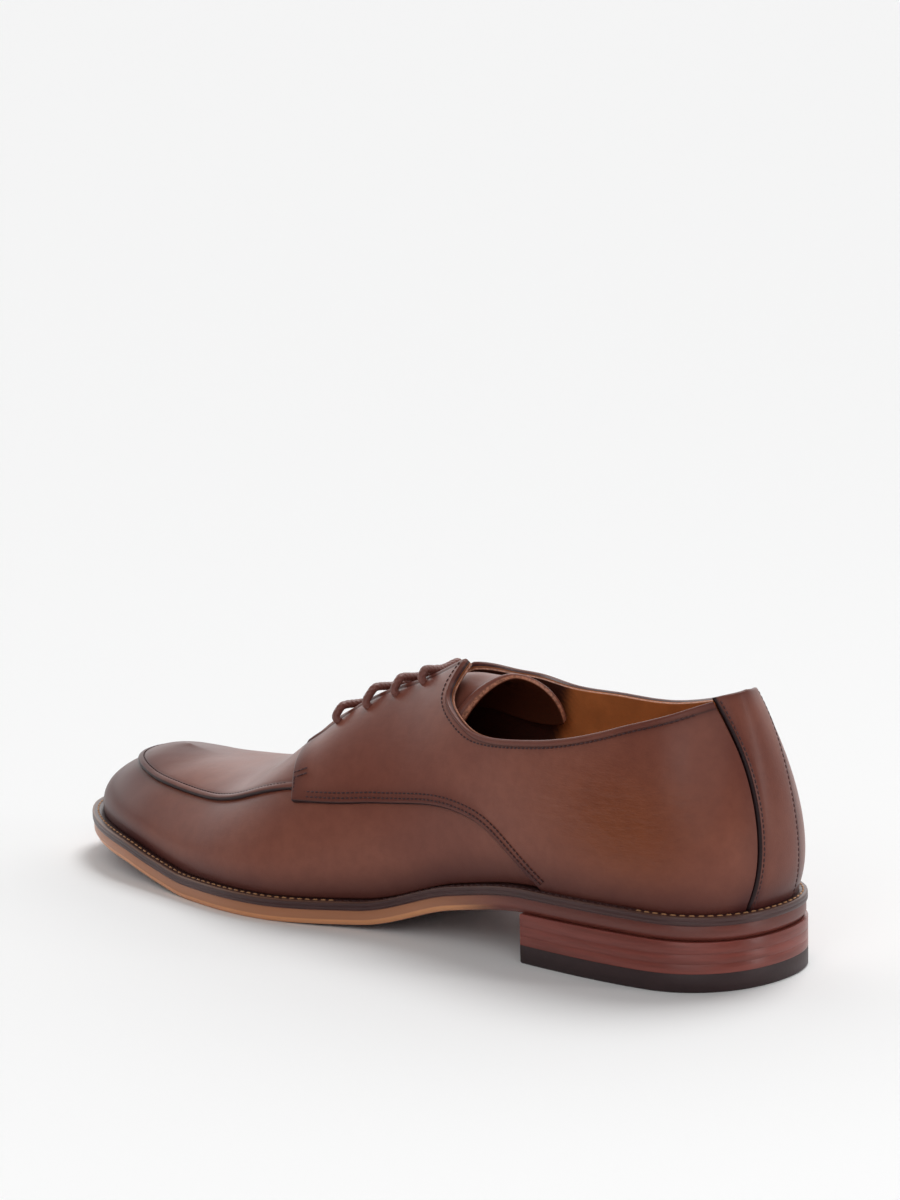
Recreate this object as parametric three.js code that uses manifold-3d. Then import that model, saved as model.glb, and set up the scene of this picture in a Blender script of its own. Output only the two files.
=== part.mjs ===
// A plain-toe derby shoe with a raised apron, for the left foot, in millimetres with +Z up.
// The toe points along +X, the outer (little toe) side is +Y, and the floor is z = 0.
// While it is built, x = 0 is the back of the heel and y = 0 is the line of the last's ridge.
import * as THREE from "three";
import { mergeVertices } from "three/addons/utils/BufferGeometryUtils.js";
import Module from "manifold-3d";

// Lengths, widths and heights of the last and the sole
const shoeLength = 302;
const heelWidth = 69;
const waistWidth = 61;
const ballWidth = 97;
const instepHeight = 80;
const toeHeight = 26;
const heelHeight = 16.2;
const toeSpring = 8.3;

// Sole pieces
const outsoleThickness = 5.1;
const outsoleStep = 0.5;
const outsoleBevel = 1.1;
const outsoleBevelHeight = 1.5;
const weltThickness = 2.6;
const weltHeelWidth = 3.2;
const weltToeWidth = 4.2;
const weltLedge = 1.6;
const insoleThickness = 2.4;
const heelLength = 77;
const breastHollow = 2.4;
const topPieceThickness = 6;
const topPieceBevel = 0.5;
const liftThickness = 3.1;
const liftCount = 3;

// Leather thicknesses
const upperWall = 1.8;
const quarterThickness = 1.1;
const apronThickness = 1.2;
const backstayThickness = 1.6;
const backstayRise = 0.8;
const tongueThickness = 2.2;

// Lacing
const laceDiameter = 2.8;
const laceArch = 2.4;
const laceDip = 1;
const eyeletDiameter = 3.4;

// Clearances between neighbouring pieces
const seatGap = 0.36;
const layerGap = 0.34;
const seamGap = 0.4;
const tongueGap = 0.8;
const insoleGap = 0.7;
const laceGap = 0.5;

// Sections of the last, from the heel (at 0) round one side to the toe (at 1).
// along, ridge: shares of the shoe's length, at the sole's edge and at the ridge on top.
// outer, inner: half widths of the sole towards the little toe and the big toe, as shares of width.
// rise: height of the ridge over the welt, as a share of tall. lift: handle up the wall, of that rise.
// swell: how far the wall leans out over the welt, and dome: how flat the top is, as shares of width.
const sections = [
  { at: 0, along: 0, ridge: 0.125, width: heelWidth, outer: 0, inner: 0, tall: instepHeight, rise: 1.064,
    lift: 0.288, swell: 0.196, dome: 0.308 },
  { at: 0.05, along: 0.013, ridge: 0.13, width: heelWidth, outer: 0.261, inner: 0.256, tall: instepHeight,
    rise: 1.059, lift: 0.3, swell: 0.173, dome: 0.25 },
  { at: 0.1, along: 0.048, ridge: 0.145, width: heelWidth, outer: 0.433, inner: 0.406, tall: instepHeight,
    rise: 1.025, lift: 0.298, swell: 0.135, dome: 0.288 },
  { at: 0.17, along: 0.11, ridge: 0.175, width: heelWidth, outer: 0.51, inner: 0.486, tall: instepHeight,
    rise: 1.006, lift: 0.295, swell: 0.115, dome: 0.357 },
  { at: 0.27, along: 0.22, ridge: 0.24, width: heelWidth, outer: 0.517, inner: 0.465, tall: instepHeight,
    rise: 1.005, lift: 0.312, swell: 0.098, dome: 0.38 },
  { at: 0.38, along: 0.345, ridge: 0.335, width: waistWidth, outer: 0.552, inner: 0.447, tall: instepHeight,
    rise: 0.99, lift: 0.334, swell: 0.093, dome: 0.387 },
  { at: 0.49, along: 0.47, ridge: 0.44, width: waistWidth, outer: 0.622, inner: 0.51, tall: instepHeight,
    rise: 0.906, lift: 0.341, swell: 0.078, dome: 0.315 },
  { at: 0.6, along: 0.59, ridge: 0.555, width: ballWidth, outer: 0.497, inner: 0.432, tall: instepHeight,
    rise: 0.764, lift: 0.341, swell: 0.04, dome: 0.213 },
  { at: 0.655, along: 0.65, ridge: 0.613, width: ballWidth, outer: 0.504, inner: 0.486, tall: instepHeight,
    rise: 0.614, lift: 0.4, swell: 0.041, dome: 0.242 },
  { at: 0.7, along: 0.7, ridge: 0.66, width: ballWidth, outer: 0.484, inner: 0.51, tall: instepHeight,
    rise: 0.487, lift: 0.47, swell: 0.041, dome: 0.264 },
  { at: 0.79, along: 0.8, ridge: 0.745, width: ballWidth, outer: 0.416, inner: 0.474, tall: toeHeight,
    rise: 1.15, lift: 0.516, swell: 0.036, dome: 0.274 },
  { at: 0.88, along: 0.895, ridge: 0.815, width: ballWidth, outer: 0.327, inner: 0.356, tall: toeHeight,
    rise: 0.985, lift: 0.51, swell: 0.031, dome: 0.248 },
  { at: 0.945, along: 0.966, ridge: 0.85, width: ballWidth, outer: 0.189, inner: 0.196, tall: toeHeight,
    rise: 0.965, lift: 0.5, swell: 0.019, dome: 0.205 },
  { at: 1, along: 1, ridge: 0.86, width: ballWidth, outer: 0, inner: 0, tall: toeHeight, rise: 0.98,
    lift: 0.41, swell: 0.015, dome: 0.142 },
];

// Underside of the outsole along the shoe: along is a share of the length, lift a share of reach.
const soleProfile = [
  { along: 0, lift: 0.97, reach: heelHeight },
  { along: 0.12, lift: 1.01, reach: heelHeight },
  { along: 0.25, lift: 0.99, reach: heelHeight },
  { along: 0.36, lift: 0.7, reach: heelHeight },
  { along: 0.48, lift: 0.1, reach: heelHeight },
  { along: 0.6, lift: 0, reach: toeSpring },
  { along: 0.72, lift: 0, reach: toeSpring },
  { along: 0.79, lift: 0.27, reach: toeSpring },
  { along: 0.86, lift: 0.66, reach: toeSpring },
  { along: 1, lift: 1, reach: toeSpring },
];

// Lines on the last. around: 0 at the heel to 1 at the toe. up: 0 at the welt to 1 at the ridge.
const outerCollar = [
  { around: 0, up: 0.609 },
  { around: 0.081, up: 0.59 },
  { around: 0.16, up: 0.557 },
  { around: 0.24, up: 0.5 },
  { around: 0.313, up: 0.466 },
  { around: 0.368, up: 0.481 },
  { around: 0.407, up: 0.538 },
  { around: 0.447, up: 0.664 },
  { around: 0.454, up: 0.785 },
  { around: 0.455, up: 0.87 },
];
const innerCollar = [
  { around: 0, up: 0.609 },
  { around: 0.08, up: 0.589 },
  { around: 0.16, up: 0.567 },
  { around: 0.24, up: 0.524 },
  { around: 0.31, up: 0.528 },
  { around: 0.368, up: 0.566 },
  { around: 0.412, up: 0.638 },
  { around: 0.443, up: 0.703 },
  { around: 0.467, up: 0.785 },
  { around: 0.488, up: 0.884 },
];
// The edges that hold the eyelets, from the collar down to the front corner
const outerFacing = [
  { around: 0.455, up: 0.87 },
  { around: 0.488, up: 0.888 },
  { around: 0.526, up: 0.876 },
  { around: 0.56, up: 0.862 },
  { around: 0.59, up: 0.828 },
  { around: 0.618, up: 0.774 },
  { around: 0.634, up: 0.715 },
];
const innerFacing = [
  { around: 0.488, up: 0.884 },
  { around: 0.508, up: 0.883 },
  { around: 0.534, up: 0.874 },
  { around: 0.563, up: 0.859 },
  { around: 0.591, up: 0.825 },
  { around: 0.618, up: 0.774 },
  { around: 0.634, up: 0.715 },
];
// The quarter's front edge, from that corner down to the lower seam
const quarterFront = [
  { around: 0.634, up: 0.715 },
  { around: 0.632, up: 0.615 },
  { around: 0.618, up: 0.497 },
  { around: 0.603, up: 0.411 },
];
// The quarter's lower seam, from its front corner back and down to the welt
const quarterSeam = [
  { around: 0.603, up: 0.411 },
  { around: 0.574, up: 0.371 },
  { around: 0.518, up: 0.358 },
  { around: 0.472, up: 0.325 },
  { around: 0.385, up: 0.252 },
  { around: 0.33, up: 0.13 },
  { around: 0.283, up: 0 },
];
// The apron's sewn edge, from the quarter forwards to the toe
const apronEdge = [
  { around: 0.607, up: 0.437 },
  { around: 0.69, up: 0.488 },
  { around: 0.77, up: 0.533 },
  { around: 0.85, up: 0.563 },
  { around: 0.92, up: 0.602 },
  { around: 1, up: 0.64 },
];
// The backstay's edge, from the welt up to the collar
const backstayEdge = [
  { around: 0.034, up: 0 },
  { around: 0.028, up: 0.15 },
  { around: 0.027, up: 0.3 },
  { around: 0.033, up: 0.45 },
  { around: 0.049, up: 0.6 },
];
// How low the tongue's side edges hang, from its free end to its root
const tongueSides = [
  { around: 0.41, up: 0.6 },
  { around: 0.5, up: 0.66 },
  { around: 0.58, up: 0.7 },
  { around: 0.66, up: 0.74 },
];
// The tongue's free end: an arch that has sunk under the last, up to where the facings hold it.
// halfWidth and shift are shares of the waist's width, skew is how far it lies askew, bend its roundness.
const freeEnd = { held: 0.5, sink: 9.3, halfWidth: 0.295, shift: 0.016, drop: 22, skew: 0.5, bend: 1.65 };
// The eyelets of one side, from the front. edge: how high the facing's edge is there.
const eyelets = [
  { around: 0.606, up: 0.742, edge: 0.8 },
  { around: 0.575, up: 0.765, edge: 0.848 },
  { around: 0.545, up: 0.798, edge: 0.87 },
  { around: 0.513, up: 0.832, edge: 0.882 },
];

// Number of facets along and up each form
const wallColumns = 42;
const wallRows = 10;
const throatShare = 0.625;
const edgeCrowding = 0.08;

// Cubic spline through knots, natural at its ends, or closed on itself over a period
function spline(knots, values, period) {
  const closed = period !== undefined;
  const x = closed ? [...knots, knots[0] + period] : [...knots];
  const y = closed ? [...values, values[0]] : [...values];
  const last = x.length - 1;
  const size = closed ? last : last + 1;
  const rows = [];
  for (let i = 0; i < size; i++) {
    const row = new Array(size + 1).fill(0);
    if (!closed && (i === 0 || i === last)) {
      row[i] = 1;
      rows.push(row);
      continue;
    }
    const before = i === 0 ? x[last] - x[last - 1] : x[i] - x[i - 1];
    const after = x[i + 1] - x[i];
    const slopeBefore = (i === 0 ? y[last] - y[last - 1] : y[i] - y[i - 1]) / before;
    const slopeAfter = (y[i + 1] - y[i]) / after;
    row[(i - 1 + size) % size] += before / 6;
    row[i] += (before + after) / 3;
    row[(i + 1) % size] += after / 6;
    row[size] = slopeAfter - slopeBefore;
    rows.push(row);
  }
  const bends = solve(rows);
  if (closed) bends.push(bends[0]);
  return (at) => {
    let t = at;
    if (closed) t = x[0] + ((((at - x[0]) % period) + period) % period);
    let i = 0;
    while (i < last - 1 && t > x[i + 1]) i++;
    const step = x[i + 1] - x[i];
    const a = (x[i + 1] - t) / step;
    const b = (t - x[i]) / step;
    const bend = ((a ** 3 - a) * bends[i] + (b ** 3 - b) * bends[i + 1]) * (step ** 2 / 6);
    return a * y[i] + b * y[i + 1] + bend;
  };
}

// Smooth curve through knots that never passes beyond its neighbours, so a level stretch stays level
function steadyCurve(knots, values) {
  const last = knots.length - 1;
  const slopes = knots.map((unused, i) => {
    if (i === 0 || i === last) return 0;
    const before = (values[i] - values[i - 1]) / (knots[i] - knots[i - 1]);
    const after = (values[i + 1] - values[i]) / (knots[i + 1] - knots[i]);
    return before * after <= 0 ? 0 : (2 * before * after) / (before + after);
  });
  slopes[last] = (values[last] - values[last - 1]) / (knots[last] - knots[last - 1]);
  return (at) => {
    let i = 0;
    while (i < last - 1 && at > knots[i + 1]) i++;
    const step = knots[i + 1] - knots[i];
    const t = Math.min(1, Math.max(0, (at - knots[i]) / step));
    const value = values[i] * (1 - t) ** 2 * (1 + 2 * t) + values[i + 1] * t * t * (3 - 2 * t);
    return value + step * (slopes[i] * t * (1 - t) ** 2 - slopes[i + 1] * t * t * (1 - t));
  };
}

// Solves linear equations given as rows with their right-hand side last
function solve(rows) {
  const size = rows.length;
  for (let i = 0; i < size; i++) {
    let best = i;
    for (let j = i + 1; j < size; j++) if (Math.abs(rows[j][i]) > Math.abs(rows[best][i])) best = j;
    [rows[i], rows[best]] = [rows[best], rows[i]];
    for (let j = i + 1; j < size; j++) {
      const factor = rows[j][i] / rows[i][i];
      for (let k = i; k <= size; k++) rows[j][k] -= factor * rows[i][k];
    }
  }
  const answer = new Array(size).fill(0);
  for (let i = size - 1; i >= 0; i--) {
    let rest = rows[i][size];
    for (let k = i + 1; k < size; k++) rest -= rows[i][k] * answer[k];
    answer[i] = rest / rows[i][i];
  }
  return answer;
}

const mix = (a, b, share) => a + (b - a) * share;
const clamp01 = (value) => Math.min(1, Math.max(0, value));
const smoothstep = (value) => clamp01(value) ** 2 * (3 - 2 * clamp01(value));

// A section's value all round the last: outer side from 0 to 1, inner side back from 1 to 2
function roundLast(outerValue, innerValue) {
  const back = sections.slice(1, -1).reverse();
  const knots = [...sections.map((row) => row.at), ...back.map((row) => 2 - row.at)];
  const values = [...sections.map(outerValue), ...back.map(innerValue)];
  return spline(knots, values, 2);
}
const bothSides = (value) => roundLast(value, value);

const edgeX = bothSides((row) => row.along * shoeLength);
const edgeY = roundLast((row) => row.outer * row.width, (row) => -row.inner * row.width);
const ridgeX = bothSides((row) => row.ridge * shoeLength);
const ridgeRise = bothSides((row) => row.rise * row.tall);
const wallLift = bothSides((row) => row.lift * row.rise * row.tall);
const wallSwell = bothSides((row) => row.swell * row.width);
const crownWidth = bothSides((row) => row.dome * row.width);

const profileLift = steadyCurve(
  soleProfile.map((row) => row.along),
  soleProfile.map((row) => row.lift * row.reach),
);
const soleBottom = (x) => profileLift(x / shoeLength);
const outsoleTop = (x) => soleBottom(x) + outsoleThickness;
const weltTop = (x) => outsoleTop(x) + seatGap + weltThickness;
const ridgeHeight = (t) => weltTop(ridgeX(t)) + ridgeRise(t);

// Direction away from the sole's edge at t
function outward(t) {
  const step = 1e-4;
  const dx = edgeX(t + step) - edgeX(t - step);
  const dy = edgeY(t + step) - edgeY(t - step);
  const size = Math.hypot(dx, dy);
  return [-dy / size, dx / size];
}

// A point on the sole's outline, moved in by an inset
function edgePoint(t, inset) {
  const [nx, ny] = outward(t);
  return [edgeX(t) - nx * inset, edgeY(t) - ny * inset];
}

const aroundOf = (t) => (t <= 1 ? t : 2 - t);
const weltWidth = (t) => mix(weltHeelWidth, weltToeWidth, clamp01((aroundOf(t) - 0.35) / 0.3));

// Slope of the ridge line, looked up by x along the shoe
const ridgeSlopes = (() => {
  const count = 60;
  const samples = [];
  for (let i = 0; i <= count; i++) {
    const t = mix(0.02, 0.985, i / count);
    samples.push([ridgeX(t), ridgeHeight(t)]);
  }
  return samples;
})();
function ridgeSlope(x) {
  const reach = shoeLength / 25;
  const heightAt = (place) => {
    const last = ridgeSlopes.length - 1;
    const limited = Math.min(Math.max(place, ridgeSlopes[0][0]), ridgeSlopes[last][0]);
    let i = 0;
    while (i < last - 1 && ridgeSlopes[i + 1][0] < limited) i++;
    const [x0, z0] = ridgeSlopes[i];
    const [x1, z1] = ridgeSlopes[i + 1];
    return mix(z0, z1, (limited - x0) / (x1 - x0));
  };
  return (heightAt(x + reach) - heightAt(x - reach)) / (2 * reach);
}

// Where the quarters lie over the upper it is drawn in by their thickness
const buried = (t) => (quarterThickness + layerGap) * (1 - smoothstep((aroundOf(t) - 0.42) / 0.24));

// A point of the finished shoe's outer form: one cubic curve from the welt up to the ridge
function formPoint(t, h) {
  const [nx, ny] = outward(t);
  const [x0, y0] = edgePoint(t, weltWidth(t));
  const z0 = weltTop(x0) + seatGap;
  const x3 = ridgeX(t);
  const z3 = ridgeHeight(t);
  const swell = wallSwell(t);
  const crown = crownWidth(t);
  const a = (1 - h) ** 3;
  const b = 3 * h * (1 - h) ** 2;
  const c = 3 * h * h * (1 - h);
  const d = h ** 3;
  return new THREE.Vector3(
    a * x0 + b * (x0 + nx * swell) + c * (x3 + nx * crown) + d * x3,
    a * y0 + b * (y0 + ny * swell) + c * ny * crown,
    a * z0 + b * (z0 + wallLift(t)) + c * (z3 + ridgeSlope(x3) * nx * crown) + d * z3,
  );
}

// Direction out of that form
function formNormal(t, h) {
  if (h > 0.9999) return new THREE.Vector3(-ridgeSlope(ridgeX(t)), 0, 1).normalize();
  const step = 1e-3;
  const low = Math.max(0, h - step);
  const alongT = formPoint(t + step, h).sub(formPoint(t - step, h));
  const alongH = formPoint(t, h + step).sub(formPoint(t, low));
  return alongH.cross(alongT).normalize();
}

// A point on the upper's outer surface, moved out by an offset
const skinPoint = (t, h, offset) => formPoint(t, h).addScaledVector(formNormal(t, h), offset - buried(t));

// A line on the last as a function of its own share from 0 to 1, from a table
function lineOf(table) {
  const places = table.map((row, i) => i / (table.length - 1));
  const around = spline(places, table.map((row) => row.around));
  const up = spline(places, table.map((row) => row.up));
  return (share) => [around(share), up(share)];
}

// The share of a line at which it is a given way round, where it runs one way
function shareAt(line, around, low, high) {
  let a = low;
  let b = high;
  const rising = line(high)[0] > line(low)[0];
  for (let i = 0; i < 40; i++) {
    const middle = (a + b) / 2;
    if (line(middle)[0] < around === rising) a = middle;
    else b = middle;
  }
  return (a + b) / 2;
}

// Two lines one after the other, the first taking its share of the whole
const joined = (first, second, share) => (place) =>
  place <= share ? first(place / share) : second((place - share) / (1 - share));
const part = (line, from, to) => (place) => line(mix(from, to, place));
const straight = (from, to) => (place) => [mix(from[0], to[0], place), mix(from[1], to[1], place)];

// A patch between four lines: bottom and top run along u, left and right run up v
function patch(bottom, top, left, right) {
  return (u, v) =>
    [0, 1].map((k) => {
      const across = mix(bottom(u)[k], top(u)[k], v);
      const along = mix(left(v)[k], right(v)[k], u);
      const low = mix(bottom(0)[k], bottom(1)[k], u);
      const high = mix(top(0)[k], top(1)[k], u);
      return across + along - mix(low, high, v);
    });
}

// A grid of places on the last, columns along u and rows up v
function gridOf(place, columns, rows, spacing = (u) => u) {
  const grid = [];
  for (let i = 0; i <= columns; i++) {
    const column = [];
    for (let j = 0; j <= rows; j++) {
      const [around, up] = place(spacing(i / columns), j / rows);
      column.push([clamp01(around), clamp01(up)]);
    }
    grid.push(column);
  }
  return grid;
}

// Triangles between points, gathered and closed into one geometry
class Skin {
  constructor() {
    this.points = [];
  }
  triangle(a, b, c) {
    this.points.push(...a, ...b, ...c);
  }
  quad(a, b, c, d) {
    const shorter = distance(a, c) <= distance(b, d);
    if (shorter) {
      this.triangle(a, b, c);
      this.triangle(a, c, d);
    } else {
      this.triangle(a, b, d);
      this.triangle(b, c, d);
    }
  }
  geometry() {
    const raw = new THREE.BufferGeometry();
    raw.setAttribute("position", new THREE.Float32BufferAttribute(this.points, 3));
    const merged = mergeVertices(raw, 1e-3);
    const kept = [];
    const index = merged.index.array;
    for (let i = 0; i < index.length; i += 3) {
      const [a, b, c] = [index[i], index[i + 1], index[i + 2]];
      if (a !== b && b !== c && c !== a) kept.push(a, b, c);
    }
    merged.setIndex(kept);
    return merged;
  }
}
const distance = (a, b) => Math.hypot(a[0] - b[0], a[1] - b[1], a[2] - b[2]);

// A layer of leather between two offsets from the upper's surface, over one or both sides.
// outer and inner are grids for the two sides. Edges that lie on the middle line are shared.
function leather(grids, low, high, placed = skinPoint) {
  const skin = new Skin();
  const onMiddle = ([around, up]) => around < 1e-6 || around > 1 - 1e-6 || up > 1 - 1e-6;
  for (const { side, grid } of grids) {
    const timeOf = (around) => (side > 0 ? around : 2 - around);
    const lay = (offset) =>
      grid.map((column) =>
        column.map(([around, up]) => placed(timeOf(around), up, offset).toArray()),
      );
    const under = lay(low);
    const over = lay(high);
    const face = (a, b, c, d) => (side > 0 ? skin.quad(a, d, c, b) : skin.quad(a, b, c, d));
    const columns = grid.length - 1;
    const rows = grid[0].length - 1;
    for (let i = 0; i < columns; i++) {
      for (let j = 0; j < rows; j++) {
        face(over[i][j], over[i + 1][j], over[i + 1][j + 1], over[i][j + 1]);
        face(under[i][j], under[i][j + 1], under[i + 1][j + 1], under[i + 1][j]);
      }
    }
    const rim = (i, j, k, l) => {
      if (onMiddle(grid[i][j]) && onMiddle(grid[k][l])) return;
      face(under[i][j], under[k][l], over[k][l], over[i][j]);
    };
    for (let i = 0; i < columns; i++) {
      rim(i, 0, i + 1, 0);
      rim(i + 1, rows, i, rows);
    }
    for (let j = 0; j < rows; j++) {
      rim(0, j + 1, 0, j);
      rim(columns, j, columns, j + 1);
    }
  }
  return skin.geometry();
}

const facings = { 1: lineOf(outerFacing), "-1": lineOf(innerFacing) };
const front = lineOf(quarterFront);
const seam = lineOf(quarterSeam);
const apronLine = lineOf(apronEdge);
const stay = lineOf(backstayEdge);
const collars = { 1: lineOf(outerCollar), "-1": lineOf(innerCollar) };
const crowded = (u) => u - edgeCrowding * Math.sin(2 * Math.PI * u);

// The opening's edge of one side: along the collar, down the facing, then over to the ridge
const openingShares = { collar: 0.46, facing: 0.64, throat: 0.73 };
function openingEdge(side) {
  const corner = facings[side](1);
  const throat = straight(corner, [throatShare, 1]);
  const ridgeEnd = straight([throatShare, 1], [1, 1]);
  const pieces = [
    [0, openingShares.collar, collars[side]],
    [openingShares.collar, openingShares.facing, facings[side]],
    [openingShares.facing, openingShares.throat, throat],
    [openingShares.throat, 1, ridgeEnd],
  ];
  return (share) => {
    const piece = pieces.find(([, end]) => share <= end + 1e-9);
    return piece[2]((share - piece[0]) / (piece[1] - piece[0]));
  };
}

// Where the wall's foot lies under each place of the opening's edge. The collar turns up steeply at its
// front, and there and at the throat the foot lies further forward, so that no column crosses the edge.
const wallFeet = [
  { place: 0, around: 0 },
  { place: 0.3, around: 0.325 },
  { place: 0.34, around: 0.385 },
  { place: 0.38, around: 0.45 },
  { place: 0.46, around: 0.495 },
  { place: 0.64, around: 0.65 },
  { place: 0.73, around: 0.715 },
  { place: 1, around: 1 },
];
const footOf = steadyCurve(wallFeet.map((row) => row.place), wallFeet.map((row) => row.around));

// The upper: one hollow wall, open at the collar, the throat and underneath
function upperGeometry() {
  const grids = [1, -1].map((side) => {
    const edge = openingEdge(side);
    const place = (u, v) => {
      const [around, up] = edge(u);
      return [mix(footOf(u), around, v), up * v];
    };
    return { side, grid: gridOf(place, wallColumns, wallRows, crowded) };
  });
  return leather(grids, -upperWall, 0);
}

// Where the quarter's lower edge lies under each place of its upper edge, as shares of the seam
const quarterFeet = [
  { place: 0.3, seam: 1 },
  { place: 0.43, seam: 0.67 },
  { place: 0.51, seam: 0.53 },
  { place: 0.62, seam: 0.39 },
  { place: 1, seam: 0 },
];
const seamUnder = steadyCurve(quarterFeet.map((row) => row.place), quarterFeet.map((row) => row.seam));

// One quarter, over the upper from the backstay to its curved front
const quarterColumns = 28;
const quarterRows = 9;
const slowStart = (u) => u - 0.13 * Math.sin(Math.PI * u);
function quarterGeometry(side) {
  const gapAround = seamGap / shoeLength;
  const collar = collars[side];
  const start = shareAt(collar, stay(1)[0] + gapAround, 0, 0.4);
  const top = joined(part(collar, start, 1), facings[side], 0.62);
  const bottomBack = stay(0)[0] + gapAround;
  const welted = straight([bottomBack, 0], [seam(1)[0], 0]);
  const weltedShare = quarterFeet[0].place;
  const bottom = (place) => (place <= weltedShare ? welted(place / weltedShare) : seam(seamUnder(place)));
  const back = (v) => {
    const share = shareAt((k) => [stay(k)[1], 0], collar(start)[1] * v, 0, 1);
    return [stay(Math.min(1, share))[0] + gapAround, collar(start)[1] * v];
  };
  const edge = (v) => front(1 - v);
  const corners = patch(bottom, top, back, edge);
  const grids = [{ side, grid: gridOf(corners, quarterColumns, quarterRows, slowStart) }];
  return leather(grids, layerGap, layerGap + quarterThickness);
}

// The apron: a raised plate over the forefoot, from the quarters round the toe
function apronGeometry() {
  const gapAround = seamGap / shoeLength;
  const rear = (v) => {
    const share = shareAt((k) => [front(1 - k)[1], 0], mix(apronLine(0)[1], front(0)[1], clamp01(v / 0.6)), 0, 1);
    if (v < 0.6) return [front(1 - share)[0] + gapAround * 3, front(1 - share)[1]];
    return straight([front(0)[0] + gapAround * 3, front(0)[1]], [throatShare, 1])((v - 0.6) / 0.4);
  };
  const foot = rear(0);
  const start = shareAt(apronLine, foot[0], 0, 0.3);
  const sewn = part(apronLine, start, 1);
  const bottom = (u) => (u === 0 ? foot : sewn(u));
  const top = straight([throatShare, 1], [1, 1]);
  const toe = straight(apronLine(1), [1, 1]);
  const place = patch(bottom, top, rear, toe);
  const grids = [1, -1].map((side) => ({ side, grid: gridOf(place, 18, 6) }));
  return leather(grids, layerGap, layerGap + apronThickness);
}

// The backstay: a strip up the back of the heel that ends over the collar
function backstayGeometry() {
  const grids = [1, -1].map((side) => {
    const collar = collars[side];
    const end = shareAt(collar, stay(1)[0], 0, 0.4);
    const raised = (u) => {
      const [around, up] = collar(end * u);
      return [around, up + backstayRise / instepHeight];
    };
    const bottom = straight([0, 0], stay(0));
    const middle = straight([0, 0], raised(0));
    const edge = (v) => {
      const [around, up] = stay(v);
      return [around, up * mix(1, raised(1)[1] / stay(1)[1], v)];
    };
    return { side, grid: gridOf(patch(bottom, raised, middle, edge), 3, 10) };
  });
  return leather(grids, layerGap, layerGap + backstayThickness);
}

// The tongue: held under the facings, with a free end that stands as an arch
function tongueGeometry() {
  const [free, root] = [tongueSides[0].around, tongueSides.at(-1).around];
  const sideUp = steadyCurve(tongueSides.map((row) => row.around), tongueSides.map((row) => row.up));
  const over = -upperWall - tongueGap;
  const place = (u, v) => {
    const around = mix(free, root, u);
    return [around, mix(sideUp(around), 1, v)];
  };
  const placed = (t, up, offset) => {
    const around = aroundOf(t);
    const held = skinPoint(t, up, offset);
    const lean = ((t <= 1 ? 1 : -1) * (1 - up)) / (1 - sideUp(around));
    const halfWidth = freeEnd.halfWidth * waistWidth + offset - over;
    const arch = skinPoint(around, 1, offset);
    arch.y = freeEnd.shift * waistWidth + halfWidth * Math.sin((lean * Math.PI) / 2);
    arch.x += freeEnd.skew * arch.y;
    arch.z -= freeEnd.sink + freeEnd.drop * Math.abs(lean) ** freeEnd.bend;
    return held.lerp(arch, 1 - smoothstep((around - free) / (freeEnd.held - free)));
  };
  const grids = [1, -1].map((half) => ({ side: half, grid: gridOf(place, 14, 7) }));
  return leather(grids, over - tongueThickness, over, placed);
}

// A plate in the sole, in stations along the shoe. Each level has an inset and a height by x.
// hollow bends its front edge back in the middle.
function plateGeometry({ from, to, stations, across, levels, hollow = 0 }) {
  const skin = new Skin();
  const sideOf = (i, side, level) => {
    const around = crowdedEnds(from, to, i / stations);
    const t = side > 0 ? around : 2 - around;
    return edgePoint(t, level.inset(t));
  };
  const row = (i, level) => {
    const a = sideOf(i, 1, level);
    const b = sideOf(i, -1, level);
    const points = [];
    for (let j = 0; j <= across; j++) {
      const share = j / across;
      const bend = hollow * (1 - (2 * share - 1) ** 2) * (i / stations) ** 6;
      const x = mix(a[0], b[0], share) - bend;
      points.push([x, mix(a[1], b[1], share), level.height(x)]);
    }
    return points;
  };
  const gridAt = (level) => Array.from({ length: stations + 1 }, (unused, i) => row(i, level));
  const grids = levels.map(gridAt);
  const caps = [
    [grids[0], 1],
    [grids.at(-1), -1],
  ];
  for (const [grid, turn] of caps) {
    for (let i = 0; i < stations; i++) {
      for (let j = 0; j < across; j++) {
        const face = [grid[i][j], grid[i + 1][j], grid[i + 1][j + 1], grid[i][j + 1]];
        skin.quad(...(turn > 0 ? face : face.reverse()));
      }
    }
  }
  const rimOf = (grid) => {
    const rim = [];
    for (let i = 0; i <= stations; i++) rim.push(grid[i][0]);
    for (let j = 1; j <= across; j++) rim.push(grid[stations][j]);
    for (let i = stations - 1; i >= 0; i--) rim.push(grid[i][across]);
    return rim;
  };
  const rims = grids.map(rimOf);
  for (let k = 1; k < rims.length; k++) {
    const [low, high] = [rims[k - 1], rims[k]];
    for (let i = 0; i < low.length; i++) {
      const next = (i + 1) % low.length;
      skin.quad(low[i], high[i], high[next], low[next]);
    }
  }
  return skin.geometry();
}
// Stations closer together towards both ends
const crowdedEnds = (from, to, share) => mix(from, to, share - 0.1 * Math.sin(2 * Math.PI * share));

function outsoleGeometry() {
  const levels = [
    { inset: () => outsoleStep + outsoleBevel, height: soleBottom },
    { inset: () => outsoleStep, height: (x) => soleBottom(x) + outsoleBevelHeight },
    { inset: () => outsoleStep, height: outsoleTop },
  ];
  return plateGeometry({ from: 0, to: 1, stations: 40, across: 2, levels });
}

// The insole lies inside the upper, on the welt's inner ledge
function insoleGeometry() {
  const inset = (t) => weltWidth(t) + upperWall + buried(t) + insoleGap;
  const bottom = (x) => weltTop(x) + seatGap;
  const levels = [
    { inset, height: bottom },
    { inset, height: (x) => bottom(x) + insoleThickness },
  ];
  return plateGeometry({ from: 0, to: 1, stations: 30, across: 2, levels });
}

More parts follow.
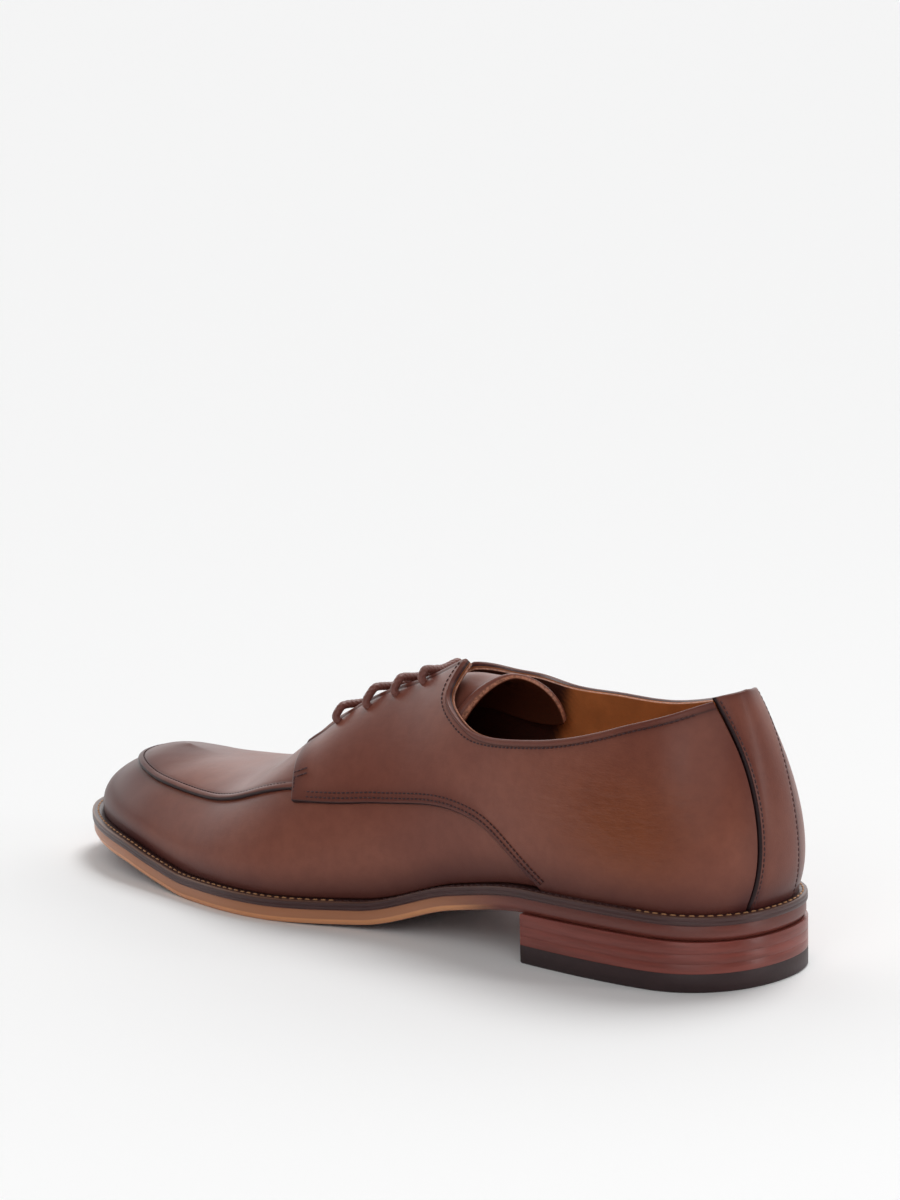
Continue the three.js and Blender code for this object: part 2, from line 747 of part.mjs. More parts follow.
// The welt: a ring round the whole shoe, on the outsole and under the upper
function weltGeometry() {
  const skin = new Skin();
  const inner = (t) => weltWidth(t) + upperWall + buried(t) + weltLedge;
  const corners = (t) => {
    const ring = [
      [0, (x) => outsoleTop(x) + seatGap],
      [0, weltTop],
      [inner(t), weltTop],
      [inner(t), (x) => outsoleTop(x) + seatGap],
    ];
    return ring.map(([inset, height]) => {
      const [x, y] = edgePoint(t, inset);
      return [x, y, height(x)];
    });
  };
  const steps = 2 * wallColumns;
  for (let i = 0; i < steps; i++) {
    const here = corners(2 * crowdedRing(i / steps));
    const next = corners(2 * crowdedRing((i + 1) / steps));
    for (let j = 0; j < 4; j++) {
      const k = (j + 1) % 4;
      skin.quad(here[j], here[k], next[k], next[j]);
    }
  }
  return skin.geometry();
}
// Steps round the outline, closer together at the heel and at the toe
const crowdedRing = (share) => share - 0.03 * Math.sin(4 * Math.PI * share);

// The heel: a top piece on the floor, then lifts up to the outsole
const heelEnd = shareAt((t) => [edgeX(t), 0], heelLength, 0.1, 0.5);
function heelPlate(levels) {
  return plateGeometry({
    from: 0,
    to: heelEnd,
    stations: 14,
    across: 3,
    levels,
    hollow: breastHollow,
  });
}
function topPieceGeometry() {
  return heelPlate([
    { inset: () => topPieceBevel, height: () => 0 },
    { inset: () => 0, height: () => topPieceBevel },
    { inset: () => 0, height: () => topPieceThickness },
  ]);
}
function liftGeometry(number) {
  const low = topPieceThickness + number * liftThickness;
  const isLast = number === liftCount - 1;
  const high = isLast ? (x) => soleBottom(x) - seatGap : () => low + liftThickness;
  return heelPlate([
    { inset: () => 0, height: () => low },
    { inset: () => 0, height: high },
  ]);
}

// One lace bar: out of an eyelet, over the facing's edge and the tongue, and down across from it
function laceGeometry({ around, up, edge }) {
  const top = layerGap + quarterThickness;
  const over = (side, height, rise) => skinPoint(side > 0 ? around : 2 - around, rise, top + height);
  const rise = mix(up, edge, 0.55);
  const middle = over(1, laceArch, edge).add(over(-1, laceArch, edge)).multiplyScalar(0.5);
  middle.z -= laceDip;
  const path = new THREE.CatmullRomCurve3(
    [
      over(1, laceGap, up),
      over(1, laceDiameter / 2, up),
      over(1, laceArch, rise),
      over(1, laceArch, edge),
      middle,
      over(-1, laceArch, edge),
      over(-1, laceArch, rise),
      over(-1, laceDiameter / 2, up),
      over(-1, laceGap, up),
    ],
    false,
    "centripetal",
  );
  const round = new THREE.Shape();
  round.absarc(0, 0, laceDiameter / 2, 0, 2 * Math.PI, false);
  const tube = new THREE.ExtrudeGeometry(round, {
    steps: 14,
    curveSegments: 4,
    bevelEnabled: false,
    extrudePath: path,
  });
  tube.deleteAttribute("normal");
  tube.deleteAttribute("uv");
  return tube;
}

// Holes for the lace, bored square to the leather through every layer
const wasm = await Module();
wasm.setup();
function solidOf(geometry) {
  const bare = geometry.clone();
  bare.deleteAttribute("normal");
  bare.deleteAttribute("uv");
  const merged = mergeVertices(bare, 1e-3);
  const mesh = new wasm.Mesh({
    numProp: 3,
    vertProperties: new Float32Array(merged.attributes.position.array),
    triVerts: new Uint32Array(merged.index.array),
  });
  return new wasm.Manifold(mesh);
}
function geometryOf(solid) {
  const mesh = solid.getMesh();
  const geometry = new THREE.BufferGeometry();
  geometry.setAttribute("position", new THREE.BufferAttribute(mesh.vertProperties, 3));
  geometry.setIndex(new THREE.BufferAttribute(mesh.triVerts, 1));
  return geometry;
}
function eyeletPunch({ around, up }, side) {
  const t = side > 0 ? around : 2 - around;
  const depth = upperWall + quarterThickness + layerGap;
  const middle = skinPoint(t, up, (quarterThickness + layerGap - upperWall) / 2);
  const punch = new THREE.CylinderGeometry(eyeletDiameter / 2, eyeletDiameter / 2, depth * 2, 8);
  const turn = new THREE.Quaternion().setFromUnitVectors(new THREE.Vector3(0, 1, 0), formNormal(t, up));
  punch.applyQuaternion(turn);
  punch.translate(middle.x, middle.y, middle.z);
  return solidOf(punch);
}
function punched(geometry, sides) {
  let solid = solidOf(geometry);
  for (const side of sides) {
    for (const eyelet of eyelets) solid = solid.subtract(eyeletPunch(eyelet, side));
  }
  return geometryOf(solid);
}

// Finishes
const finish = (color, roughness) => new THREE.MeshStandardMaterial({ color, roughness, metalness: 0 });
const leatherFinish = finish(0x7a4a36, 0.42);
const apronFinish = finish(0x6f4234, 0.38);
const stayFinish = finish(0x5f3a2e, 0.4);
const liningFinish = finish(0x9a6238, 0.7);
const weltFinish = finish(0x4a2c26, 0.5);
const outsoleFinish = finish(0x8a5836, 0.55);
const liftFinish = finish(0x7c3a2c, 0.4);
const rubberFinish = finish(0x3a2422, 0.7);
const laceFinish = finish(0x4f3026, 0.6);

const shoe = new THREE.Group();
function add(name, geometry, material) {
  const mesh = new THREE.Mesh(geometry, material);
  mesh.name = name;
  shoe.add(mesh);
}

add("upper", punched(upperGeometry(), [1, -1]), leatherFinish);
add("quarter_outer", punched(quarterGeometry(1), [1]), leatherFinish);
add("quarter_inner", punched(quarterGeometry(-1), [-1]), leatherFinish);
add("apron", apronGeometry(), apronFinish);
add("backstay", backstayGeometry(), stayFinish);
add("tongue", tongueGeometry(), leatherFinish);
add("insole", insoleGeometry(), liningFinish);
add("welt", weltGeometry(), weltFinish);
add("outsole", outsoleGeometry(), outsoleFinish);
for (let i = 0; i < liftCount; i++) add(`heel_lift_${i + 1}`, liftGeometry(i), liftFinish);
add("top_piece", topPieceGeometry(), rubberFinish);
eyelets.forEach((eyelet, i) => add(`lace_bar_${i + 1}`, laceGeometry(eyelet), laceFinish));

// The origin is under the middle of the shoe, on the floor
const reach = new THREE.Box3().setFromObject(shoe);
const middle = reach.getCenter(new THREE.Vector3());
shoe.position.set(-middle.x, -middle.y, -reach.min.z);

export default shoe;
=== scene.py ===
"""A brown derby shoe for the left foot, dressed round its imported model.

Lengths in the tables and functions are millimetres in the shoe's own frame: x from the back of the heel
to the toe, y towards the little toe, z up from the floor. place() turns them into the row frame.
"""
import math
from collections import namedtuple

import bpy
import numpy as np
from mathutils import Matrix, Vector


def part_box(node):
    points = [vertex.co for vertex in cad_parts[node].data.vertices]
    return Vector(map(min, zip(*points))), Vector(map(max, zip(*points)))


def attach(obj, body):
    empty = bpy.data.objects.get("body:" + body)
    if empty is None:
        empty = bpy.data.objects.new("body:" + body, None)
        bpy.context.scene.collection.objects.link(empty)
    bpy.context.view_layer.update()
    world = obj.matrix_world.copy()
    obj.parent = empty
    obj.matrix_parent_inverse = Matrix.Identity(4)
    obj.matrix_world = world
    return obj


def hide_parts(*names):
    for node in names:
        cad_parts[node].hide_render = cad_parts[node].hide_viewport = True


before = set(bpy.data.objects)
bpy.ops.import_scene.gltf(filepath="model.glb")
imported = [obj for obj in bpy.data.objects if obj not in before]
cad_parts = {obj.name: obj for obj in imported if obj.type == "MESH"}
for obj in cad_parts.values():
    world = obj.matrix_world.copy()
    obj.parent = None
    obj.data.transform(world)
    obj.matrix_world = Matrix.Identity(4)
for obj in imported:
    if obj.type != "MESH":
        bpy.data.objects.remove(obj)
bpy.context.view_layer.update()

MM = 0.001

# The last and the sole, the same values as in the part's source
SHOE_LENGTH = 302
HEEL_WIDTH = 69
WAIST_WIDTH = 61
BALL_WIDTH = 97
INSTEP_HEIGHT = 80
TOE_HEIGHT = 26
HEEL_HEIGHT = 16.2
TOE_SPRING = 8.3
OUTSOLE_THICKNESS = 5.1
OUTSOLE_STEP = 0.5
WELT_THICKNESS = 2.6
WELT_HEEL_WIDTH = 3.2
WELT_TOE_WIDTH = 4.2
WELT_LEDGE = 1.6
INSOLE_THICKNESS = 2.4
HEEL_LENGTH = 77
BREAST_HOLLOW = 2.4
TOP_PIECE_THICKNESS = 6
LIFT_THICKNESS = 3.1
LIFT_COUNT = 3
UPPER_WALL = 1.8
QUARTER_THICKNESS = 1.1
APRON_THICKNESS = 1.2
BACKSTAY_THICKNESS = 1.6
BACKSTAY_RISE = 0.8
TONGUE_THICKNESS = 2.2
LACE_DIAMETER = 2.8
LACE_ARCH = 2.4
LACE_DIP = 1
SEAT_GAP = 0.36
LAYER_GAP = 0.34
SEAM_GAP = 0.4
TONGUE_GAP = 0.8
INSOLE_GAP = 0.7
THROAT_SHARE = 0.625

# A row for each section of the last: at is its place round the shoe from 0 at the heel to 1 at the toe.
# along and ridge are shares of the length, outer and inner shares of width for the edge on either side.
# rise is a share of tall, lift a share of the rise, and swell and dome shares of width.
Section = namedtuple("Section", "at along ridge width outer inner tall rise lift swell dome")
SECTIONS = [
    Section(0, 0, 0.125, HEEL_WIDTH, 0, 0, INSTEP_HEIGHT, 1.064, 0.288, 0.196, 0.308),
    Section(0.05, 0.013, 0.13, HEEL_WIDTH, 0.261, 0.256, INSTEP_HEIGHT, 1.059, 0.3, 0.173, 0.25),
    Section(0.1, 0.048, 0.145, HEEL_WIDTH, 0.433, 0.406, INSTEP_HEIGHT, 1.025, 0.298, 0.135, 0.288),
    Section(0.17, 0.11, 0.175, HEEL_WIDTH, 0.51, 0.486, INSTEP_HEIGHT, 1.006, 0.295, 0.115, 0.357),
    Section(0.27, 0.22, 0.24, HEEL_WIDTH, 0.517, 0.465, INSTEP_HEIGHT, 1.005, 0.312, 0.098, 0.38),
    Section(0.38, 0.345, 0.335, WAIST_WIDTH, 0.552, 0.447, INSTEP_HEIGHT, 0.99, 0.334, 0.093, 0.387),
    Section(0.49, 0.47, 0.44, WAIST_WIDTH, 0.622, 0.51, INSTEP_HEIGHT, 0.906, 0.341, 0.078, 0.315),
    Section(0.6, 0.59, 0.555, BALL_WIDTH, 0.497, 0.432, INSTEP_HEIGHT, 0.764, 0.341, 0.04, 0.213),
    Section(0.655, 0.65, 0.613, BALL_WIDTH, 0.504, 0.486, INSTEP_HEIGHT, 0.614, 0.4, 0.041, 0.242),
    Section(0.7, 0.7, 0.66, BALL_WIDTH, 0.484, 0.51, INSTEP_HEIGHT, 0.487, 0.47, 0.041, 0.264),
    Section(0.79, 0.8, 0.745, BALL_WIDTH, 0.416, 0.474, TOE_HEIGHT, 1.15, 0.516, 0.036, 0.274),
    Section(0.88, 0.895, 0.815, BALL_WIDTH, 0.327, 0.356, TOE_HEIGHT, 0.985, 0.51, 0.031, 0.248),
    Section(0.945, 0.966, 0.85, BALL_WIDTH, 0.189, 0.196, TOE_HEIGHT, 0.965, 0.5, 0.019, 0.205),
    Section(1, 1, 0.86, BALL_WIDTH, 0, 0, TOE_HEIGHT, 0.98, 0.41, 0.015, 0.142),
]
# The sole's underside: lift is a share of reach
Rise = namedtuple("Rise", "along lift reach")
SOLE_PROFILE = [
    Rise(0, 0.97, HEEL_HEIGHT),
    Rise(0.12, 1.01, HEEL_HEIGHT),
    Rise(0.25, 0.99, HEEL_HEIGHT),
    Rise(0.36, 0.7, HEEL_HEIGHT),
    Rise(0.48, 0.1, HEEL_HEIGHT),
    Rise(0.6, 0, TOE_SPRING),
    Rise(0.72, 0, TOE_SPRING),
    Rise(0.79, 0.27, TOE_SPRING),
    Rise(0.86, 0.66, TOE_SPRING),
    Rise(1, 1, TOE_SPRING),
]

# Lines on the last: (around, up), around from 0 at the heel to 1 at the toe, up from welt to ridge
OUTER_COLLAR = [(0, 0.609), (0.081, 0.59), (0.16, 0.557), (0.24, 0.5), (0.313, 0.466), (0.368, 0.481),
                (0.407, 0.538), (0.447, 0.664), (0.454, 0.785), (0.455, 0.87)]
INNER_COLLAR = [(0, 0.609), (0.08, 0.589), (0.16, 0.567), (0.24, 0.524), (0.31, 0.528), (0.368, 0.566),
                (0.412, 0.638), (0.443, 0.703), (0.467, 0.785), (0.488, 0.884)]
OUTER_FACING = [(0.455, 0.87), (0.488, 0.888), (0.526, 0.876), (0.56, 0.862), (0.59, 0.828), (0.618, 0.774),
                (0.634, 0.715)]
INNER_FACING = [(0.488, 0.884), (0.508, 0.883), (0.534, 0.874), (0.563, 0.859), (0.591, 0.825),
                (0.618, 0.774), (0.634, 0.715)]
QUARTER_FRONT = [(0.634, 0.715), (0.63, 0.625), (0.616, 0.508), (0.598, 0.386)]
QUARTER_SEAM = [(0.598, 0.386), (0.545, 0.362), (0.5, 0.349), (0.45, 0.313), (0.4, 0.263), (0.355, 0.205),
                (0.318, 0.11), (0.282, 0)]
APRON_EDGE = [(0.607, 0.437), (0.69, 0.488), (0.77, 0.533), (0.85, 0.563), (0.92, 0.602), (1, 0.64)]
BACKSTAY_EDGE = [(0.034, 0), (0.028, 0.15), (0.027, 0.3), (0.033, 0.45), (0.049, 0.6)]
TONGUE_SIDES = [(0.41, 0.6), (0.5, 0.66), (0.58, 0.7), (0.66, 0.74)]
FREE_END = dict(held=0.5, sink=9.3, half_width=0.295, shift=0.016, drop=22, skew=0.5, bend=1.65)
# around, up, and how high the facing's edge is there
EYELETS = [(0.606, 0.742, 0.8), (0.575, 0.765, 0.848), (0.545, 0.798, 0.87), (0.513, 0.832, 0.882)]


def spline(knots, values, period=None):
    """Cubic spline through knots: natural at its ends, or closed on itself over a period."""
    x = np.array(knots, float)
    y = np.array(values, float)
    if period:
        x = np.append(x, x[0] + period)
        y = np.append(y, y[0])
    last = len(x) - 1
    size = last if period else last + 1
    matrix = np.zeros((size, size))
    right = np.zeros(size)
    for i in range(size):
        if not period and i in (0, last):
            matrix[i, i] = 1
            continue
        before = x[last] - x[last - 1] if i == 0 else x[i] - x[i - 1]
        after = x[i + 1] - x[i]
        drop = y[last] - y[last - 1] if i == 0 else y[i] - y[i - 1]
        matrix[i, (i - 1) % size] += before / 6
        matrix[i, i] += (before + after) / 3
        matrix[i, (i + 1) % size] += after / 6
        right[i] = (y[i + 1] - y[i]) / after - drop / before
    bends = np.linalg.solve(matrix, right)
    if period:
        bends = np.append(bends, bends[0])

    def value(at):
        t = np.asarray(at, float)
        if period:
            t = x[0] + np.mod(t - x[0], period)
        i = np.clip(np.searchsorted(x, t, side="right") - 1, 0, last - 1)
        step = x[i + 1] - x[i]
        a = (x[i + 1] - t) / step
        b = (t - x[i]) / step
        bend = ((a**3 - a) * bends[i] + (b**3 - b) * bends[i + 1]) * step**2 / 6
        return a * y[i] + b * y[i + 1] + bend

    return value


def steady_curve(knots, values):
    """Smooth curve through knots that never passes beyond its neighbours."""
    x = np.array(knots, float)
    y = np.array(values, float)
    last = len(x) - 1
    rates = np.diff(y) / np.diff(x)
    slopes = np.zeros(len(x))
    for i in range(1, last):
        before, after = rates[i - 1], rates[i]
        if before * after > 0:
            slopes[i] = 2 * before * after / (before + after)
    slopes[last] = rates[-1]

    def value(at):
        t = np.asarray(at, float)
        i = np.clip(np.searchsorted(x, t, side="right") - 1, 0, last - 1)
        step = x[i + 1] - x[i]
        b = np.clip((t - x[i]) / step, 0, 1)
        level = y[i] * (1 - b) ** 2 * (1 + 2 * b) + y[i + 1] * b * b * (3 - 2 * b)
        return level + step * (slopes[i] * b * (1 - b) ** 2 - slopes[i + 1] * b * b * (1 - b))

    return value


def curve_of(table):
    return steady_curve([row[0] for row in table], [row[1] for row in table])


def mix(a, b, share):
    return a + (b - a) * share


def smoothstep(value):
    s = np.clip(value, 0, 1)
    return s * s * (3 - 2 * s)


def bump(value, width):
    """A soft hump of height 1 at 0."""
    return np.exp(-((np.asarray(value) / width) ** 2))


def unit(vectors):
    return vectors / np.maximum(np.linalg.norm(vectors, axis=-1, keepdims=True), 1e-12)


def run_of(points):
    """The length of a line up to each of its points."""
    return np.concatenate([[0], np.cumsum(np.linalg.norm(np.diff(points, axis=0), axis=-1))])


def sampled(wanted, run, values):
    """Each column of values at the wanted lengths."""
    return np.stack([np.interp(wanted, run, column) for column in values.T], -1)


def round_last(outer_value, inner_value):
    """A section's value all round the last: outer side from 0 to 1, inner side back from 1 to 2."""
    back = SECTIONS[-2:0:-1]
    knots = [row.at for row in SECTIONS] + [2 - row.at for row in back]
    values = [outer_value(row) for row in SECTIONS] + [inner_value(row) for row in back]
    return spline(knots, values, 2)


def both_sides(value):
    return round_last(value, value)


edge_x = both_sides(lambda row: row.along * SHOE_LENGTH)
edge_y = round_last(lambda row: row.outer * row.width, lambda row: -row.inner * row.width)
ridge_x = both_sides(lambda row: row.ridge * SHOE_LENGTH)
ridge_rise = both_sides(lambda row: row.rise * row.tall)
wall_lift = both_sides(lambda row: row.lift * row.rise * row.tall)
wall_swell = both_sides(lambda row: row.swell * row.width)
crown_width = both_sides(lambda row: row.dome * row.width)
profile_lift = curve_of([(row.along, row.lift * row.reach) for row in SOLE_PROFILE])


def sole_bottom(x):
    return profile_lift(x / SHOE_LENGTH)


def outsole_top(x):
    return sole_bottom(x) + OUTSOLE_THICKNESS


def welt_top(x):
    return outsole_top(x) + SEAT_GAP + WELT_THICKNESS


def ridge_height(t):
    return welt_top(ridge_x(t)) + ridge_rise(t)


def outward(t):
    """Direction away from the sole's edge at t."""
    step = 1e-4
    dx = edge_x(t + step) - edge_x(t - step)
    dy = edge_y(t + step) - edge_y(t - step)
    size = np.hypot(dx, dy)
    return -dy / size, dx / size


def edge_point(t, inset):
    nx, ny = outward(t)
    return edge_x(t) - nx * inset, edge_y(t) - ny * inset


def around_of(t):
    return np.where(t <= 1, t, 2 - t)


def fore_share(t):
    """0 along the heel, 1 along the forefoot and in between at the waist."""
    return np.clip((around_of(t) - 0.35) / 0.3, 0, 1)


def welt_width(t):
    return mix(WELT_HEEL_WIDTH, WELT_TOE_WIDTH, fore_share(t))


SLOPE_SAMPLES = 61
slope_t = np.linspace(0.02, 0.985, SLOPE_SAMPLES)
slope_x = ridge_x(slope_t)
slope_z = ridge_height(slope_t)


def ridge_slope(x):
    reach = SHOE_LENGTH / 25
    return (np.interp(x + reach, slope_x, slope_z) - np.interp(x - reach, slope_x, slope_z)) / (2 * reach)


def buried(t):
    """How deep the upper lies under the quarters."""
    return (QUARTER_THICKNESS + LAYER_GAP) * (1 - smoothstep((around_of(t) - 0.42) / 0.24))


def form_point(t, h):
    """A point of the shoe's outer form: one cubic curve from the welt up to the ridge."""
    nx, ny = outward(t)
    x0, y0 = edge_point(t, welt_width(t))
    z0 = welt_top(x0) + SEAT_GAP
    x3 = ridge_x(t)
    z3 = ridge_height(t)
    swell = wall_swell(t)
    crown = crown_width(t)
    a = (1 - h) ** 3
    b = 3 * h * (1 - h) ** 2
    c = 3 * h * h * (1 - h)
    d = h**3
    x = a * x0 + b * (x0 + nx * swell) + c * (x3 + nx * crown) + d * x3
    y = a * y0 + b * (y0 + ny * swell) + c * ny * crown
    z = a * z0 + b * (z0 + wall_lift(t)) + c * (z3 + ridge_slope(x3) * nx * crown) + d * z3
    return np.stack([x, y, z], -1)


def form_normal(t, h):
    step = 1e-3
    h = np.clip(h, 0, 1)
    low = np.clip(h - step, 0, 1)
    high = np.clip(h + step, 0, 1)
    along_t = form_point(t + step, h) - form_point(t - step, h)
    along_h = form_point(t, high) - form_point(t, low)
    normal = unit(np.cross(along_h, along_t))
    slope = ridge_slope(ridge_x(t))
    top = unit(np.stack([-slope, np.zeros_like(slope), np.ones_like(slope)], -1))
    return np.where((h > 0.9999)[..., None], top, normal)


def skin_point(t, h, offset):
    """A point on the upper's outer surface, moved out by an offset."""
    t = np.asarray(t, float)
    h = np.asarray(h, float)
    depth = np.asarray(offset) - buried(t)
    return form_point(t, h) + form_normal(t, h) * depth[..., None]


def line_of(table):
    """A line on the last as a function of its own share from 0 to 1."""
    places = np.linspace(0, 1, len(table))
    around = spline(places, [row[0] for row in table])
    up = spline(places, [row[1] for row in table])
    return lambda share: np.stack([around(share), up(share)], -1)


def share_at(line, around, low, high):
    """The share of a line at which it is a given way round, where it runs one way."""
    rising = line(high)[0] > line(low)[0]
    for _ in range(40):
        middle = (low + high) / 2
        if (line(middle)[0] < around) == rising:
            low = middle
        else:
            high = middle
    return (low + high) / 2


def joined(pieces):
    """Lines one after the other, each (end share, line)."""

    def value(share):
        share = np.asarray(share, float)
        out = np.zeros(share.shape + (2,))
        start = 0.0
        for end, line in pieces:
            last = end == pieces[-1][0]
            inside = (share >= start) & ((share <= end) if last else (share < end))
            local = np.clip((share - start) / (end - start), 0, 1)
            out = np.where(inside[..., None], line(local), out)
            start = end
        return out

    return value


def part(line, start, end):
    return lambda share: line(mix(start, end, np.asarray(share, float)))


def straight(start, end):
    a = np.array(start, float)
    b = np.array(end, float)
    return lambda share: a + (b - a) * np.asarray(share, float)[..., None]


def patch(bottom, top, left, right):
    """A patch between four lines: bottom and top run along u, left and right run up v."""

    def value(u, v):
        uu = u[..., None]
        vv = v[..., None]
        across = mix(bottom(u), top(u), vv)
        along = mix(left(v), right(v), uu)
        low = mix(bottom(np.zeros(1)), bottom(np.ones(1)), uu)
        high = mix(top(np.zeros(1)), top(np.ones(1)), uu)
        return across + along - mix(low, high, vv)

    return value


facings = {1: line_of(OUTER_FACING), -1: line_of(INNER_FACING)}
front = line_of(QUARTER_FRONT)
seam = line_of(QUARTER_SEAM)
apron_line = line_of(APRON_EDGE)
stay = line_of(BACKSTAY_EDGE)
collars = {1: line_of(OUTER_COLLAR), -1: line_of(INNER_COLLAR)}

# The row frame's origin is under the middle of the part's box, so the shoe's own frame is moved there
welt_low, welt_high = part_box("welt")
ring_t = np.linspace(0, 2, 2001)
ORIGIN = np.array([welt_low.x, welt_high.y - edge_y(ring_t).max() * MM, 0.0])


def place(points):
    """Millimetres in the shoe's frame to metres in the row frame."""
    return np.asarray(points) * MM + ORIGIN


# Meshes
def add_mesh(name, vertices, faces, material, replaced=(), masks=None):
    """A piece from vertices in millimetres. masks are named values for each vertex."""
    mesh = bpy.data.meshes.new(name)
    mesh.from_pydata(place(vertices).tolist(), [], [list(map(int, f)) for f in faces])
    for key, values in (masks or {}).items():
        layer = mesh.attributes.new(key, "FLOAT", "POINT")
        layer.data.foreach_set("value", np.asarray(values, np.float32).ravel())
    mesh.materials.append(material)
    mesh.polygons.foreach_set("use_smooth", [True] * len(mesh.polygons))
    mesh.validate()
    mesh.update()
    piece = bpy.data.objects.new(name, mesh)
    bpy.context.scene.collection.objects.link(piece)
    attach(piece, "root")
    if replaced:
        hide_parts(*replaced)
    return piece


def grid_faces(rows, columns, start=0, flip=False):
    """Quads of a grid whose points are stored row after row."""
    i, j = np.meshgrid(np.arange(rows - 1), np.arange(columns - 1), indexing="ij")
    corner = i * columns + j
    quads = np.stack([corner, corner + columns, corner + columns + 1, corner + 1], -1).reshape(-1, 4) + start
    return quads[:, ::-1] if flip else quads


def border(rows, columns):
    """The border points of a grid, once round."""
    loop = [(i, 0) for i in range(rows)] + [(rows - 1, j) for j in range(1, columns)]
    loop += [(i, columns - 1) for i in range(rows - 2, -1, -1)]
    loop += [(0, j) for j in range(columns - 2, 0, -1)]
    return np.array([i * columns + j for i, j in loop])


MERGE_REACH = 0.002


def merge_points(points, quads):
    """Points at the same place become one, and faces that collapse lose their doubled corners."""
    keys = np.round(points / MERGE_REACH).astype(np.int64)
    _, first, inverse = np.unique(keys, axis=0, return_index=True, return_inverse=True)
    inverse = inverse.reshape(-1)
    faces = []
    for quad in inverse[quads]:
        corners = [int(c) for k, c in enumerate(quad) if c != quad[k - 1]]
        if len(set(corners)) >= 3:
            faces.append(corners)
    return points[first], faces, first


# The vamp sags a little across the foot, just in front of the quarters
SAG_DEPTH = 2.0
SAG_PLACE = 0.678
SAG_REACH = 0.05


def seated(t, h, offset):
    """The upper's surface for the looks: its foot reaches down to the welt, and the throat sags."""
    points = skin_point(t, h, offset)
    foot = (SEAT_GAP + 0.15) * np.clip(1 - np.asarray(h) / 0.02, 0, 1)
    sag = SAG_DEPTH * bump(around_of(t) - SAG_PLACE, SAG_REACH)
    points[..., 2] -= foot + sag * smoothstep((np.asarray(h) - 0.45) / 0.3)
    return points


# Distances from an edge, in millimetres, at which a panel has extra rows
NEAR_EDGE = [0, 0.12, 0.35, 0.7, 1.1, 1.6, 2.1, 2.6, 3.2, 4.0]
FEW_NEAR = [0, 0.3, 0.8, 1.6]


def spaced(length, middle, near):
    """Distances from one edge to the other, close together near both."""
    near = np.array(near) * min(1.0, length / (2.6 * near[-1]))
    inner = np.linspace(near[-1], length - near[-1], middle + 2)[1:-1]
    return np.concatenate([near, inner, length - near[::-1]])


def panel_grid(side, spot, columns, rows, near_u=NEAR_EDGE, near_v=NEAR_EDGE, surface=seated):
    """A grid of places on the last, with each point's distance from the panel's four edges."""
    fine = np.linspace(0, 1, 201)

    def times(places):
        around = np.clip(places[..., 0], 0, 1)
        return (around if side > 0 else 2 - around), np.clip(places[..., 1], 0, 1)

    middle_line = run_of(surface(*times(spot(fine, np.full_like(fine, 0.5))), 0.0 * fine))
    u_list = np.interp(spaced(middle_line[-1], columns, near_u), middle_line, fine)
    all_u, all_v = [], []
    for u in u_list:
        along = run_of(surface(*times(spot(np.full_like(fine, u), fine)), 0.0 * fine))
        all_v.append(np.interp(spaced(along[-1], rows, near_v), along, fine))
        all_u.append(np.full(len(all_v[-1]), u))
    t, h = times(spot(np.array(all_u), np.array(all_v)))
    base = surface(t, h, np.zeros_like(t))

    def run(axis):
        steps = np.linalg.norm(np.diff(base, axis=axis), axis=-1)
        total = np.cumsum(steps, axis=axis)
        return np.concatenate([np.zeros_like(total.take([0], axis)), total], axis)

    along_u = run(0)
    along_v = run(1)
    edges = {
        "back": along_u,
        "front": along_u[-1:] - along_u,
        "low": along_v,
        "top": along_v[:, -1:] - along_v,
    }
    return side, t, h, edges


RIM_STEPS = (0.3, 0.7)
RELAX_ROUNDS = 60


def relaxed(points, faces, centre, reach):
    """Even out the points near a place, less and less towards reach."""
    pairs = np.array([pair for face in faces for pair in zip(face, np.roll(face, -1))])
    weight = 0.5 * (1 - smoothstep(np.linalg.norm(points - centre, axis=-1) / reach))[:, None]
    count = np.bincount(pairs.ravel(), minlength=len(points))[:, None]
    for _ in range(RELAX_ROUNDS):
        total = np.zeros_like(points)
        np.add.at(total, pairs[:, 0], points[pairs[:, 1]])
        np.add.at(total, pairs[:, 1], points[pairs[:, 0]])
        points = points + weight * (total / np.maximum(count, 1) - points)
    return points


